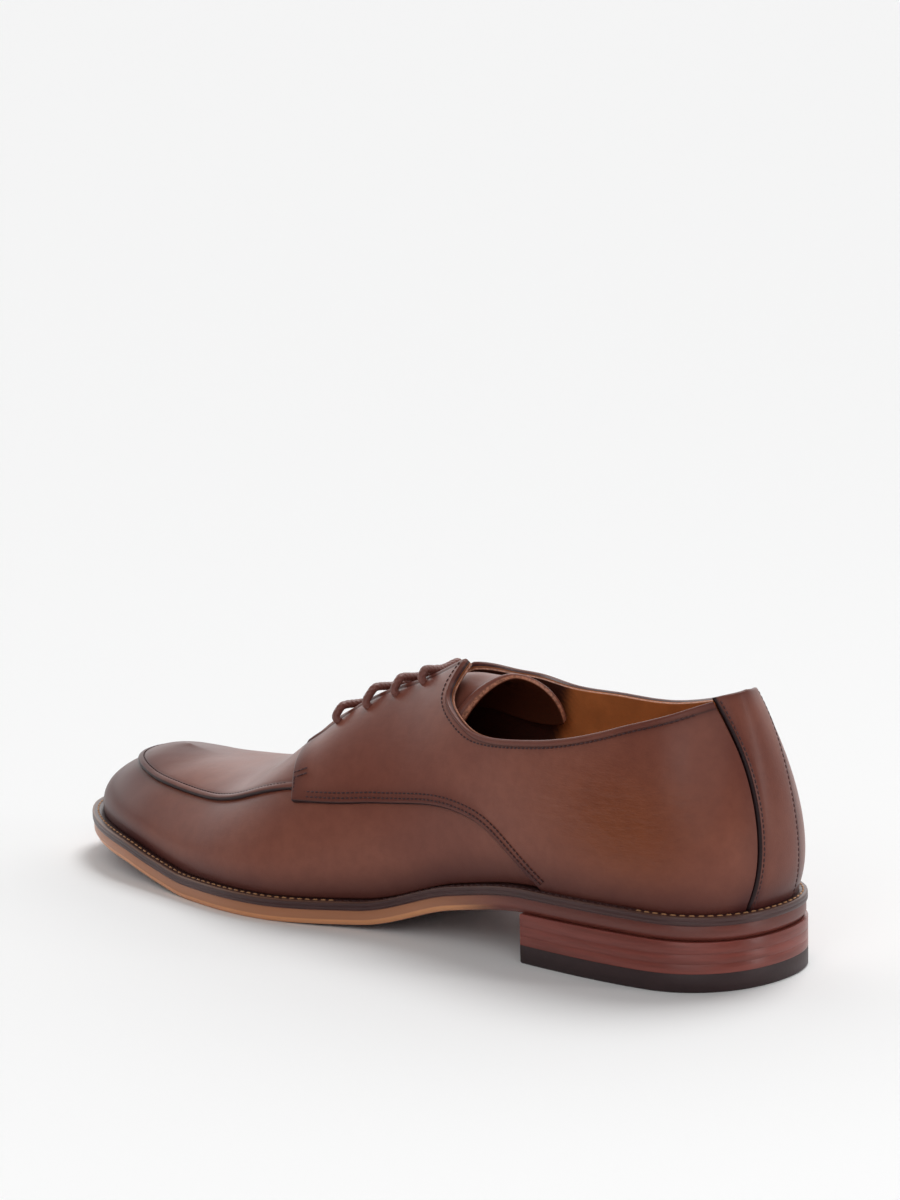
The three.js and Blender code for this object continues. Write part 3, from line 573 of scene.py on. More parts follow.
def closed_panel(name, parts, thickness, under, material, replaced=(), masks=None, surface=seated,
                 soften=None):
    """A panel of leather from grids of its sides, closed underneath.

    thickness gives the outer offset from the edge distances, under is the inner offset. Points on the
    middle line of two sides meet and are merged. Mask rim is 1 on the cut edge, and inside is 1 underneath.
    soften is how far round the ridge's front end the points are evened out.
    """
    vertices, faces, values = [], [], {}
    start = 0
    for side, t, h, edges in parts:
        rows, columns = t.shape
        size = rows * columns
        over = surface(t, h, thickness(side, t, h, edges)).reshape(-1, 3)
        low = surface(t, h, np.full(t.shape, float(under))).reshape(-1, 3)
        flip = side < 0
        faces.append(grid_faces(rows, columns, start, flip))
        faces.append(grid_faces(rows, columns, start + size, not flip))
        middle = (around_of(t) < 1e-5) | (around_of(t) > 1 - 1e-5) | (h > 1 - 1e-5)
        index = border(rows, columns)
        count = len(index)
        rings = [over[index] + (low[index] - over[index]) * step for step in RIM_STEPS]
        levels = [start + index]
        levels += [start + 2 * size + k * count + np.arange(count) for k in range(len(RIM_STEPS))]
        levels.append(start + size + index)
        on_middle = middle.ravel()[index]
        open_edge = ~(on_middle & np.roll(on_middle, -1))
        for upper, lower in zip(levels, levels[1:]):
            quads = np.stack([upper, lower, np.roll(lower, -1), np.roll(upper, -1)], -1)[open_edge]
            faces.append(quads[:, ::-1] if flip else quads)
        vertices += [over, low] + rings
        given = masks(side, t, h, edges) if masks else {}
        rim_count = count * len(RIM_STEPS)
        given["rim"] = np.zeros_like(t)
        given["inside"] = np.zeros_like(t)
        for key, value in given.items():
            spread = np.broadcast_to(value, t.shape).astype(float).ravel()
            on_rim = np.full(rim_count, 1.0) if key == "rim" else np.tile(spread[index], len(RIM_STEPS))
            below = np.ones(size) if key == "inside" else spread
            values.setdefault(key, []).extend([spread, below, on_rim])
        start += 2 * size + rim_count
    points, quads, kept = merge_points(np.concatenate(vertices), np.concatenate(faces))
    if soften:
        points = relaxed(points, quads, surface(1.0, 1.0, 1.0), soften)
    masks_out = {key: np.concatenate(columns_of)[kept] for key, columns_of in values.items()}
    add_mesh(name, points, quads, material, replaced, masks_out)


# Camera: a long lens at the photo's angle, found from the shoe's outlines
CAMERA_PLACE = (-736.8, 955.2, 343.6)
CAMERA_YAW = 0.7401
CAMERA_PITCH = 0.1826
CAMERA_ROLL = -0.0223
FOCAL_PIXELS = 4033.7
FRAME_HEIGHT = 1200
SENSOR = 36.0
CAMERA_REACH = 80


def add_camera():
    yaw, pitch, roll = CAMERA_YAW, CAMERA_PITCH, CAMERA_ROLL
    ahead = np.array([math.cos(pitch) * math.sin(yaw), -math.cos(pitch) * math.cos(yaw), -math.sin(pitch)])
    right = unit(np.cross(ahead, [0, 0, 1]))
    upward = np.cross(right, ahead)
    level_right = math.cos(roll) * right + math.sin(roll) * upward
    level_up = -math.sin(roll) * right + math.cos(roll) * upward
    data = bpy.data.cameras.new("camera")
    data.sensor_width = SENSOR
    data.sensor_fit = "AUTO"
    data.lens = FOCAL_PIXELS * SENSOR / FRAME_HEIGHT
    data.clip_end = CAMERA_REACH
    camera = bpy.data.objects.new("camera", data)
    bpy.context.scene.collection.objects.link(camera)
    columns = [level_right, level_up, -ahead, place(CAMERA_PLACE)]
    turned = [[float(column[i]) for column in columns] for i in range(3)]
    camera.matrix_world = Matrix(turned + [[0, 0, 0, 1]])
    bpy.context.scene.camera = camera


# Light
def add_light(name, kind, power, where, aim=(0, 0, 0.04), size=1.0, size_y=None):
    data = bpy.data.lights.new(name, kind)
    data.energy = power
    if kind == "AREA":
        data.shape = "RECTANGLE"
        data.size = size
        data.size_y = size_y or size
    else:
        data.angle = size
    light = bpy.data.objects.new(name, data)
    bpy.context.scene.collection.objects.link(light)
    light.location = where
    light.rotation_euler = (Vector(where) - Vector(aim)).to_track_quat("Z", "Y").to_euler()


# The backdrop behind the shoe is bright, brightest above the camera's view, and the room on the camera's
# side is dim
BACKDROP_SIDE = (0.674, -0.738, 0.0)
ROOM_DIM = 0.12
BACKDROP_LEVEL = 0.54
BACKDROP_GLOW = 1.3
FLOOR_TINT = 0.93
FLOOR_HALF = 30


def add_studio():
    bpy.context.scene.view_settings.view_transform = "Standard"
    world = bpy.data.worlds.new("studio")
    bpy.context.scene.world = world
    world.use_nodes = True
    n = Nodes(world.node_tree)
    aside = n.make("VectorMath", "Value", {0: n.generated(), 1: BACKDROP_SIDE}, operation="DOT_PRODUCT")
    upward = n.make("SeparateXYZ", "Z", {0: n.generated()})
    far_side = n.span(aside, -0.3, 0.8)
    glow = n.math("MULTIPLY", n.span(upward, 0.02, 0.2), n.span(upward, 0.75, 0.4))
    level = n.math("ADD", n.math("MULTIPLY", glow, BACKDROP_GLOW), BACKDROP_LEVEL - ROOM_DIM)
    bright = n.math("ADD", n.math("MULTIPLY", far_side, level), ROOM_DIM)
    n.link(bright, world.node_tree.nodes["Background"].inputs["Strength"])
    world.node_tree.nodes["Background"].inputs["Color"].default_value = (1, 1, 1, 1)
    add_light("key", "SUN", 1.48, (0.1, -0.62, 1.2), size=math.radians(28))
    add_light("fill", "SUN", 0.75, (-0.5, 0.7, 0.6), size=math.radians(60))
    add_light("strip_heel", "AREA", 1.6, (-1.0, -0.35, 0.35), size=0.12, size_y=0.7)
    add_light("strip_front", "AREA", 0.6, (-0.55, 1.1, 0.75), aim=(-0.1, 0, 0.06), size=0.3)
    mesh = bpy.data.meshes.new("floor")
    corners = [(x * FLOOR_HALF, y * FLOOR_HALF, 0) for x, y in ((-1, -1), (1, -1), (1, 1), (-1, 1))]
    mesh.from_pydata(corners, [], [(0, 1, 2, 3)])
    floor = bpy.data.objects.new("floor", mesh)
    bpy.context.scene.collection.objects.link(floor)
    material, shader, _ = new_material("floor_pale")
    shader.inputs["Base Color"].default_value = (FLOOR_TINT, FLOOR_TINT, FLOOR_TINT, 1)
    shader.inputs["Roughness"].default_value = 1.0
    shader.inputs["Specular IOR Level"].default_value = 0.0
    mesh.materials.append(material)


# Materials
def new_material(name):
    material = bpy.data.materials.new(name)
    material.use_nodes = True
    tree = material.node_tree
    return material, tree.nodes["Principled BSDF"], tree


class Nodes:
    """Short calls for the nodes of one material."""

    def __init__(self, tree):
        self.tree = tree

    def link(self, source, target):
        self.tree.links.new(source, target)

    def make(self, kind, output, values, **settings):
        """A node's output. Its values are numbers, colours or other outputs, by the input's name or place."""
        node = self.tree.nodes.new("ShaderNode" + kind)
        for name, value in settings.items():
            setattr(node, name, value)
        for key, value in values.items():
            socket = node.inputs[key]
            if isinstance(value, bpy.types.NodeSocket):
                self.link(value, socket)
            elif value is not None:
                socket.default_value = (*value, 1) if socket.type == "RGBA" else value
        return node.outputs[output]

    def mask(self, name):
        return self.make("Attribute", "Fac", {}, attribute_name=name)

    def generated(self):
        return self.make("TexCoord", "Generated", {})

    def place(self, stretch=None):
        source = self.make("TexCoord", "Object", {})
        return self.make("Mapping", "Vector", {"Vector": source, "Scale": stretch}) if stretch else source

    def noise(self, scale, detail=2.0, roughness=0.5, stretch=None):
        values = {"Scale": scale, "Detail": detail, "Roughness": roughness, "Vector": self.place(stretch)}
        return self.make("TexNoise", "Fac", values)

    def cells(self, scale):
        values = {"Scale": scale, "Vector": self.place()}
        return self.make("TexVoronoi", "Distance", values, feature="DISTANCE_TO_EDGE")

    def math(self, kind, a, b=None):
        return self.make("Math", 0, {0: a, 1: b}, operation=kind)

    def span(self, value, low, high, to_low=0.0, to_high=1.0):
        values = {"Value": value, "From Min": low, "From Max": high, "To Min": to_low, "To Max": to_high}
        return self.make("MapRange", "Result", values, interpolation_type="SMOOTHSTEP")

    def blend(self, share, first, second):
        return self.make("Mix", 2, {0: share, 6: first, 7: second}, data_type="RGBA")

    def bump(self, height, strength, distance, normal=None):
        values = {"Strength": strength, "Distance": distance, "Height": height, "Normal": normal}
        return self.make("Bump", "Normal", values)

    def fuzz(self, tint):
        """The fibres of a cut edge."""
        fibres = self.span(self.noise(900, 3, 0.7), 0.35, 0.65)
        return self.blend(fibres, tuple(0.45 * c for c in tint), tint)


BROWN = (0.2, 0.064, 0.043)
BROWN_LIGHT = (0.24, 0.082, 0.054)
BROWN_WARM = (0.21, 0.055, 0.02)
BROWN_DARK = (0.062, 0.015, 0.014)
# Near black: the paint on cut edges, and the painted shade in stitch grooves
EDGE_PAINT_AND_GROOVE_SHADE = (0.018, 0.007, 0.008)
RAW_EDGE = (0.55, 0.23, 0.14)
TAN = (0.47, 0.155, 0.045)
# The tongue's dark lining underneath, painted darker still for the shade under its arch
TONGUE_BACK_AND_SHADE = (0.075, 0.022, 0.011)
# Painted shade for the lining deep inside the shoe, ahead of the collar's front
LINING_SHADE = (0.05, 0.014, 0.008)


def leather(name, rim=BROWN_DARK, inside=TAN):
    """Burnished brown leather. Masks: burnish darkens, also as painted shade; edge is painted, also as
    painted shade in stitch grooves; warm reddens, crease wrinkles.
    """
    material, shader, tree = new_material(name)
    n = Nodes(tree)
    cloud = n.noise(24, 3, 0.55)
    base = n.blend(n.span(cloud, 0.36, 0.64), BROWN, BROWN_LIGHT)
    base = n.blend(n.mask("warm"), base, BROWN_WARM)
    speckle = n.span(n.noise(260, 3, 0.65), 0.3, 0.75, 0.0, 0.14)
    base = n.blend(speckle, base, BROWN_DARK)
    # Darker leather for the burnish, and for painted shade where a panel's mask asks for it
    base = n.blend(n.math("MULTIPLY", n.mask("burnish"), 0.92), base, BROWN_DARK)
    # Painted cut edges, and painted shade lines in the stitch grooves
    base = n.blend(n.mask("edge"), base, EDGE_PAINT_AND_GROOVE_SHADE)
    base = n.blend(n.mask("rim"), base, n.fuzz(rim))
    base = n.blend(n.mask("inside"), base, inside)
    n.link(base, shader.inputs["Base Color"])
    pebble = n.span(n.cells(1150), 0.0, 0.3)
    fine = n.noise(2200, 2, 0.6)
    grain = n.math("ADD", n.math("MULTIPLY", pebble, 0.6), n.math("MULTIPLY", fine, 0.5))
    normal = n.bump(grain, 0.16, 0.0001)
    wrinkle = n.math("MULTIPLY", n.noise(210, 4, 0.6, (0.55, 0.55, 1.6)), n.mask("crease"))
    normal = n.bump(wrinkle, 0.5, 0.0011, normal)
    swell = n.noise(34, 2, 0.5)
    normal = n.bump(swell, 0.25, 0.0014, normal)
    n.link(normal, shader.inputs["Normal"])
    n.link(n.span(cloud, 0.3, 0.7, 0.33, 0.4), shader.inputs["Roughness"])
    shader.inputs["Specular IOR Level"].default_value = 0.19
    shader.inputs["Coat Weight"].default_value = 0.06
    shader.inputs["Coat Roughness"].default_value = 0.2
    return material


def plain(name, color, roughness, grain_scale=900, grain=0.25, edge=None, depth=0.0002, stretch=None,
          lighter=1.3, rim=None):
    """A simple finish with a fine grain and a little variation."""
    material, shader, tree = new_material(name)
    n = Nodes(tree)
    bright = tuple(min(1, c * lighter) for c in color)
    base = n.blend(n.span(n.noise(70, 4, 0.6, stretch), 0.3, 0.7), color, bright)
    if edge:
        base = n.blend(n.mask("edge"), base, edge)
    if rim:
        base = n.blend(n.mask("rim"), base, n.fuzz(rim))
    n.link(base, shader.inputs["Base Color"])
    n.link(n.bump(n.noise(grain_scale, 3, 0.6, stretch), grain, depth), shader.inputs["Normal"])
    shader.inputs["Roughness"].default_value = roughness
    shader.inputs["Specular IOR Level"].default_value = 0.4
    return material


LEATHER = leather("brown_leather")
TONGUE_LEATHER = leather("tongue_leather", RAW_EDGE, TONGUE_BACK_AND_SHADE)
LINING = plain("tan_lining", TAN, 0.55, edge=LINING_SHADE, rim=RAW_EDGE, grain=0.4)
SOCK = plain("brown_sock", (0.06, 0.02, 0.011), 0.6)
WELT = plain("dark_welt", (0.05, 0.019, 0.018), 0.36, edge=(0.2, 0.095, 0.055), stretch=(1, 1, 6))
SOLE_EDGE = plain("sole_edge", (0.13, 0.034, 0.025), 0.34, edge=(0.75, 0.34, 0.16), stretch=(0.5, 0.5, 5))
STACK = plain("heel_stack", (0.165, 0.0378, 0.0281), 0.3, edge=(0.02, 0.006, 0.006), stretch=(0.4, 0.4, 6),
              lighter=1.45)
RUBBER = plain("heel_rubber", (0.028, 0.012, 0.013), 0.5)
LACE = plain("lace_cord", (0.15, 0.052, 0.04), 0.42, 1400, 0.6)
THREAD = plain("brown_thread", (0.045, 0.014, 0.014), 0.6)
THREAD_TAN = plain("tan_thread", (0.4, 0.2, 0.09), 0.6)


def burnished(t, h):
    """Darker leather round the toe, at the heel's back and low on the wall."""
    around = around_of(t)
    toe = smoothstep((around - 0.74) / 0.2) * 0.88
    low = (1 - smoothstep(h / 0.16)) * 0.75
    heel = (1 - smoothstep(around / 0.05)) * 0.3
    return np.clip(toe + low + heel, 0, 1)


def rounded(distance, radius):
    """Height share of a rounded edge at a distance from it."""
    d = np.clip(distance / radius, 0, 1)
    return np.sqrt(np.clip(1 - (1 - d) ** 2, 0, 1))


def painted(distance, width=0.25, fade=0.4):
    """The mask of an edge's paint, which fades out past its width."""
    return 1 - smoothstep((distance - width) / fade)


EDGE_SHARE = 0.42


def lifted(level, distances, radius=0.7):
    """An outer offset that rounds off towards the given edges."""
    share = np.ones_like(distances[0])
    for distance in distances:
        share = np.minimum(share, rounded(distance, radius))
    return level * mix(EDGE_SHARE, 1, share)


# Upper
LINING_OUT = -0.9
QUARTER_TOP = LAYER_GAP + QUARTER_THICKNESS
PANEL_UNDER = 0.03
OPENING_SHARES = (0.46, 0.64, 0.73)
# Where the wall's foot lies under each place of the opening's edge, so that no grid line crosses the edge
wall_foot = curve_of([(0, 0), (0.3, 0.325), (0.34, 0.385), (0.38, 0.45), (0.46, 0.495), (0.64, 0.65),
                      (0.73, 0.715), (1, 1)])
# The same for a quarter, as shares of its seam, from where its foot leaves the welt
QUARTER_WELTED = 0.3
seam_under = curve_of([(QUARTER_WELTED, 1), (0.43, 0.63), (0.51, 0.41), (0.62, 0.286), (1, 0)])
# The vamp's rear edge, hidden by the quarters
VAMP_BACK = 0.24
VAMP_RIDGE = 0.6
VAMP_REAR = [(0.25, 0.02), (0.3, 0.2), (0.37, 0.34), (0.46, 0.42), (0.53, 0.45), (0.57, 0.48), (0.59, 0.6),
             (0.595, 0.8), (VAMP_RIDGE, 1)]


def opening_edge(side):
    corner = facings[side](1.0)
    return joined([
        (OPENING_SHARES[0], collars[side]),
        (OPENING_SHARES[1], facings[side]),
        (OPENING_SHARES[2], straight(corner, (THROAT_SHARE, 1))),
        (1.0, straight((THROAT_SHARE, 1), (1, 1))),
    ])


def add_lining():
    parts = []
    for side in (1, -1):
        edge = opening_edge(side)

        def spot(u, v, edge=edge):
            top = edge(u)
            return np.stack([mix(wall_foot(u), top[..., 0], v), top[..., 1] * v], -1)

        parts.append(panel_grid(side, spot, 120, 28, near_u=[0, 1], near_v=FEW_NEAR))

    def over(side, t, h, edges):
        return LINING_OUT * np.ones_like(t)

    def masks(side, t, h, edges):
        # Painted shade: the lining ahead of the collar's front, deep under the facings and tongue, is
        # darkened
        return {"edge": smoothstep((around_of(t) + 0.12 * h - 0.432) / 0.02)}

    closed_panel("upper_lining", parts, over, -UPPER_WALL, LINING, ["upper"], masks)


def add_vamp():
    parts = []
    for side in (1, -1):
        top = joined([(0.5, line_of(VAMP_REAR)), (1.0, straight((VAMP_RIDGE, 1), (1, 1)))])
        bottom = straight((VAMP_BACK, 0), (1, 0))
        spot = patch(bottom, top, straight((VAMP_BACK, 0), VAMP_REAR[0]), straight((1, 0), (1, 1)))
        parts.append(panel_grid(side, spot, 120, 36, near_u=[0, 1], near_v=[0, 0.5, 1.2]))

    def masks(side, t, h, edges):
        return {"burnish": burnished(t, h), "crease": 0.25 * bump(around_of(t) - 0.66, 0.08)}

    closed_panel("vamp", parts, lambda side, t, h, edges: 0 * t, LINING_OUT + 0.05, LEATHER,
                 (), masks)


def quarter_spot(side):
    gap_around = SEAM_GAP / SHOE_LENGTH
    collar = collars[side]
    start = share_at(collar, stay(1.0)[0] + gap_around, 0.0, 0.4)
    top = joined([(0.62, part(collar, start, 1)), (1.0, facings[side])])
    welted = straight((float(stay(0.0)[0]) + gap_around, 0), (float(seam(1.0)[0]), 0))

    def bottom(u):
        u = np.asarray(u, float)
        on_seam = seam(seam_under(np.clip(u, QUARTER_WELTED, 1)))
        return np.where((u <= QUARTER_WELTED)[..., None], welted(np.clip(u / QUARTER_WELTED, 0, 1)), on_seam)

    collar_up = float(collar(start)[1])
    stay_points = stay(np.linspace(0, 1, 101))

    def back(v):
        up = collar_up * np.asarray(v, float)
        return np.stack([np.interp(up, stay_points[:, 1], stay_points[:, 0]) + gap_around, up], -1)

    return patch(bottom, top, back, lambda v: front(1 - np.asarray(v, float)))


def edge_raise(distance):
    """How far a quarter stands up near its seam."""
    return 0.35 * (1 - smoothstep(distance / 8))


def add_quarter(side):
    grid = panel_grid(side, quarter_spot(side), 110, 44)

    def over(side, t, h, edges):
        low = edges["low"] + 3 * (h[:, :1] < 1e-6)
        turned = 0.22 * bump(edges["top"] - 1.2, 0.9) - 0.2 * bump(edges["top"] - 2.6, 0.45)
        raised = FRONT_LIFT * (1 - smoothstep(edges["front"] / 9)) + edge_raise(low)
        return lifted(QUARTER_TOP + turned + raised, [edges["front"], edges["top"], low])

    def masks(side, t, h, edges):
        around = around_of(t)
        low = edges["low"] + 99 * (h[:, :1] < 1e-6)
        near = np.minimum(edges["front"], low)
        dark = 0.6 * bump(near, 5) + 0.45 * bump(edges["top"], 4) + 0.3 * bump(edges["back"], 5)
        # Painted shade on the quarter under the lace facing, added into the darkening mask
        facing_shade = 0.2 * bump(around - 0.5, 0.06) * smoothstep((h - 0.5) / 0.3)
        # Paint on the front edge and seam, and a painted shade line in the collar's stitch groove
        edge = np.maximum(painted(near), 0.6 * bump(edges["top"] - 2.6, 0.4))
        warm = bump(around - 0.17, 0.085) * bump(h - 0.26, 0.17)
        crease = bump(around - 0.18, 0.09) * bump(h - 0.33, 0.16) + 0.18
        return {"burnish": np.clip(burnished(t, h) + dark + facing_shade, 0, 1), "edge": edge,
                "warm": warm, "crease": crease}

    name = "quarter_outer" if side > 0 else "quarter_inner"
    closed_panel(name + "_skin", [grid], over, LINING_OUT + 0.05, LEATHER, [name], masks)


# How far the apron runs on under the quarters' front edges, and how far those edges stand up for it
TUCK = 0.006
FRONT_LIFT = 0.75
APRON_SOFT = 16


def add_apron():
    front_points = front(np.linspace(1, 0, 101))
    first = apron_line(0.0)
    top_front = front(0.0)

    def rear(v):
        v = np.asarray(v, float)
        up = mix(float(first[1]), float(top_front[1]), np.clip(v / 0.6, 0, 1))
        low = np.stack([np.interp(up, front_points[:, 1], front_points[:, 0]) - TUCK, up], -1)
        corner = (float(top_front[0]) - TUCK, float(top_front[1]))
        high = straight(corner, (THROAT_SHARE, 1))(np.clip((v - 0.6) / 0.4, 0, 1))
        return np.where((v < 0.6)[..., None], low, high)

    start = share_at(apron_line, float(rear(np.zeros(1))[0][0]), 0.0, 0.3)
    spot = patch(part(apron_line, start, 1), straight((THROAT_SHARE, 1), (1, 1)), rear,
                 straight(tuple(apron_line(1.0)), (1, 1)))
    _, t, h, edges = panel_grid(1, spot, 80, 26, near_u=[0, 0.3, 0.8])
    parts = [(1, t, h, edges), (-1, 2 - t, h, edges)]
    level = LAYER_GAP + APRON_THICKNESS

    def over(side, t, h, edges):
        ridge = 0.28 * bump(edges["low"] - 1.3, 0.9) - 0.22 * bump(edges["low"] - 2.6, 0.45)
        return lifted(level + ridge, [edges["low"], edges["back"]], 0.9)

    def masks(side, t, h, edges):
        dark = 0.35 * bump(edges["low"], 4) + 0.7 * smoothstep((around_of(t) - 0.78) / 0.17)
        # Painted shade in the stitch groove behind the apron's bead
        groove = 0.3 * bump(edges["low"] - 2.6, 0.4)
        return {"burnish": np.clip(dark, 0, 1),
                "edge": np.maximum(painted(edges["low"]), groove),
                "crease": 0.15 + 0 * t}

    closed_panel("apron_skin", parts, over, PANEL_UNDER, LEATHER, ["apron"], masks,
                 soften=APRON_SOFT)


STAY_STITCH = 1.75


def add_backstay():
    parts = []
    for side in (1, -1):
        collar = collars[side]
        end = share_at(collar, float(stay(1.0)[0]), 0.0, 0.4)
        rise = np.array([0, BACKSTAY_RISE / INSTEP_HEIGHT])

        def raised(u, collar=collar, end=end):
            return collar(end * np.asarray(u, float)) + rise

        scale = float(raised(1.0)[1] / stay(1.0)[1])

        def edge(v, scale=scale):
            points = stay(v)
            grown = points[..., 1] * mix(1, scale, np.asarray(v, float))
            return np.stack([points[..., 0], grown], -1)

        spot = patch(straight((0, 0), tuple(stay(0.0))), raised, straight((0, 0), tuple(raised(0.0))), edge)
        parts.append(panel_grid(side, spot, 8, 60, near_u=[0, 0.12, 0.35, 0.7, 1.1, 1.6, 2.2, 3.0]))
    level = LAYER_GAP + BACKSTAY_THICKNESS

    def over(side, t, h, edges):
        groove = 0.15 * bump(edges["front"] - STAY_STITCH, 0.5)
        return lifted(level - groove, [edges["front"], edges["top"]], 0.8)

    def masks(side, t, h, edges):
        near = np.minimum(edges["front"], edges["top"])
        return {"burnish": np.clip(burnished(t, h) + 0.45 * bump(near, 3), 0, 1),
                "edge": painted(edges["front"], 0.75, 0.3), "crease": 0.12 + 0 * t}

    closed_panel("backstay_skin", parts, over, -0.3, LEATHER, ["backstay"], masks)


# Tongue
TONGUE_OVER = -UPPER_WALL - TONGUE_GAP
side_up = curve_of(TONGUE_SIDES)


def tongue_point(t, h, offset):
    """The tongue: held under the facings, with a free end that stands as an arch."""
    t = np.asarray(t, float)
    h = np.asarray(h, float)
    around = around_of(t)
    held = skin_point(t, h, offset)
    lean = np.where(t <= 1, 1, -0.84) * (1 - h) / (1 - side_up(around))
    half_width = FREE_END["half_width"] * WAIST_WIDTH + offset - TONGUE_OVER
    arch = skin_point(around, np.ones_like(h), offset)
    flare = 3.2 * np.clip(lean, 0, 1) ** 3
    y = FREE_END["shift"] * WAIST_WIDTH + half_width * np.sin(lean * np.pi / 2) + flare
    x = arch[..., 0] + FREE_END["skew"] * y
    z = arch[..., 2] - FREE_END["sink"] - FREE_END["drop"] * np.abs(lean) ** FREE_END["bend"]
    free = TONGUE_SIDES[0][0]
    loose = 1 - smoothstep((around - free) / (FREE_END["held"] - free))
    return mix(held, np.stack([x, y, z], -1), loose[..., None])


def add_tongue():
    free, root = TONGUE_SIDES[0][0], TONGUE_SIDES[-1][0]

    def spot(u, v):
        around = mix(free, root, np.asarray(u, float))
        return np.stack([around, mix(side_up(around), 1, v)], -1)

    near = [0, 0.25, 0.6, 1.1, 1.7, 2.4, 3.2]
    parts = [panel_grid(side, spot, 44, 26, near_u=near, near_v=FEW_NEAR, surface=tongue_point)
             for side in (1, -1)]

    def over(side, t, h, edges):
        rolled = 0.5 * (1 - rounded(np.minimum(edges["back"], edges["low"]), 1.0))
        welted = 0.25 * bump(edges["back"] - 1.4, 0.8) - 0.2 * bump(edges["back"] - 2.8, 0.5)
        return TONGUE_OVER - rolled + welted - 0.25

    def masks(side, t, h, edges):
        # A painted shade line in the groove along the tongue's edge
        return {"edge": 0.5 * bump(edges["back"] - 2.8, 0.5), "burnish": 0.25 + 0 * t}

    closed_panel("tongue_skin", parts, over, TONGUE_OVER - TONGUE_THICKNESS, TONGUE_LEATHER,
                 ["tongue"], masks, tongue_point)


# Sole
def ring(count):
    """Steps round the outline, closer together at the heel and at the toe."""
    share = np.arange(count) / count
    return 2 * (share - 0.03 * np.sin(4 * np.pi * share))


def add_welt():
    # inset from the outline, height over the outsole and how light it is, from the lower outer corner
    section = [(0.5, -SEAT_GAP, 0), (0.1, -0.2, 0), (0, 0.2, 0), (0, 1.0, 0), (0.1, 1.1, 0), (0, 1.2, 0),
               (0, 2.0, 0), (0.12, 2.42, 0.6), (0.4, 2.6, 1), (0.8, 2.6, 0.2), (1.3, 2.6, 0)]
    t = ring(360)
    inner = welt_width(t) + UPPER_WALL + buried(t) + WELT_LEDGE
    outer = np.tile([row[0] for row in section], (len(t), 1))
    insets = np.concatenate([outer, inner[:, None], inner[:, None]], 1)
    levels = np.array([row[1] for row in section] + [WELT_THICKNESS, -SEAT_GAP])
    nx, ny = outward(t)
    x = edge_x(t)[:, None] - nx[:, None] * insets
    y = edge_y(t)[:, None] - ny[:, None] * insets
    z = outsole_top(x) + SEAT_GAP + levels
    rows, columns = x.shape
    i, j = np.meshgrid(np.arange(rows), np.arange(columns), indexing="ij")
    k, m = (i + 1) % rows, (j + 1) % columns
    quads = np.stack([i * columns + j, i * columns + m, k * columns + m, k * columns + j], -1).reshape(-1, 4)
    light = np.array([row[2] for row in section] + [0, 0])
    forward = smoothstep((around_of(t) - 0.4) / 0.25)
    mask = light * mix(0.35, 1.0, forward)[:, None]
    points = np.stack([x, y, z], -1).reshape(-1, 3)
    add_mesh("welt_ring", points, quads, WELT, ["welt"], {"edge": mask.ravel()})


def plate(name, end, stations, across, levels, material, replaced, hollow=0.0):
    """A plate of the sole with a closed side. Its levels, from the floor up, are (inset, height, tint)."""
    share = np.arange(stations + 1) / stations
    around = end * (share - 0.1 * np.sin(2 * np.pi * share))
    step = np.linspace(0, 1, across + 1)
    grids = []
    for inset, height, _ in levels:
        left, right = [
            np.stack(edge_point(t, inset(t) if callable(inset) else inset), -1) for t in (around, 2 - around)
        ]
        points = left[:, None] + (right - left)[:, None] * step[None, :, None]
        bend = hollow * (1 - (2 * step[None] - 1) ** 2) * (share[:, None] ** 6)
        x = points[..., 0] - bend
        grids.append(np.stack([x, points[..., 1], height(x)], -1))
    columns = across + 1
    size = (stations + 1) * columns
    index = border(stations + 1, columns)[:2 - columns]
    rims = [grid.reshape(-1, 3)[index] for grid in grids]
    count = len(index)
    faces = [grid_faces(stations + 1, columns, 0, True), grid_faces(stations + 1, columns, size)]
    for k in range(len(rims) - 1):
        low = 2 * size + k * count + np.arange(count)
        high = low + count
        faces.append(np.stack([low, high, np.roll(high, -1), np.roll(low, -1)], -1))
    points = np.concatenate([grids[0].reshape(-1, 3), grids[-1].reshape(-1, 3)] + rims)
    tints = [np.full(2 * size, 0.0)]
    for rim, (_, _, shade) in zip(rims, levels):
        tints.append(shade(rim[:, 0]) if callable(shade) else np.full(count, float(shade)))
    points, quads, kept = merge_points(points, np.concatenate(faces)[:, ::-1])
    piece = add_mesh(name, points, quads, material, replaced, {"edge": np.concatenate(tints)[kept]})
    for polygon in piece.data.polygons:
        polygon.use_smooth = abs(polygon.normal.z) < 0.7


def above(height, rise):
    return lambda x: height(x) + rise


def flat(height):
    return lambda x: 0 * x + height


def add_sole():
    def forefoot(x):
        return smoothstep((x - HEEL_LENGTH - 8) / 26)

    def side(x):
        return 0.45 * smoothstep((x - HEEL_LENGTH) / 50)

    plate("outsole_edge", 1.0, 200, 2, [
        (1.8, sole_bottom, forefoot),
        (1.35, above(sole_bottom, 0.2), forefoot),
        (0.62, above(sole_bottom, 1.5), forefoot),
        (OUTSOLE_STEP, above(sole_bottom, 1.8), lambda x: 0.9 * forefoot(x)),
        (OUTSOLE_STEP, above(sole_bottom, 2.1), side),
        (OUTSOLE_STEP, above(outsole_top, -0.3), side),
        (0.8, above(outsole_top, 0.1), side),
    ], SOLE_EDGE, ["outsole"])

    def inset(t):
        return welt_width(t) + UPPER_WALL + buried(t) + INSOLE_GAP - 0.6

    plate("insole_sock", 1.0, 120, 2, [
        (inset, above(welt_top, SEAT_GAP), 0),
        (inset, above(welt_top, SEAT_GAP + INSOLE_THICKNESS), 0),
    ], SOCK, ["insole"])


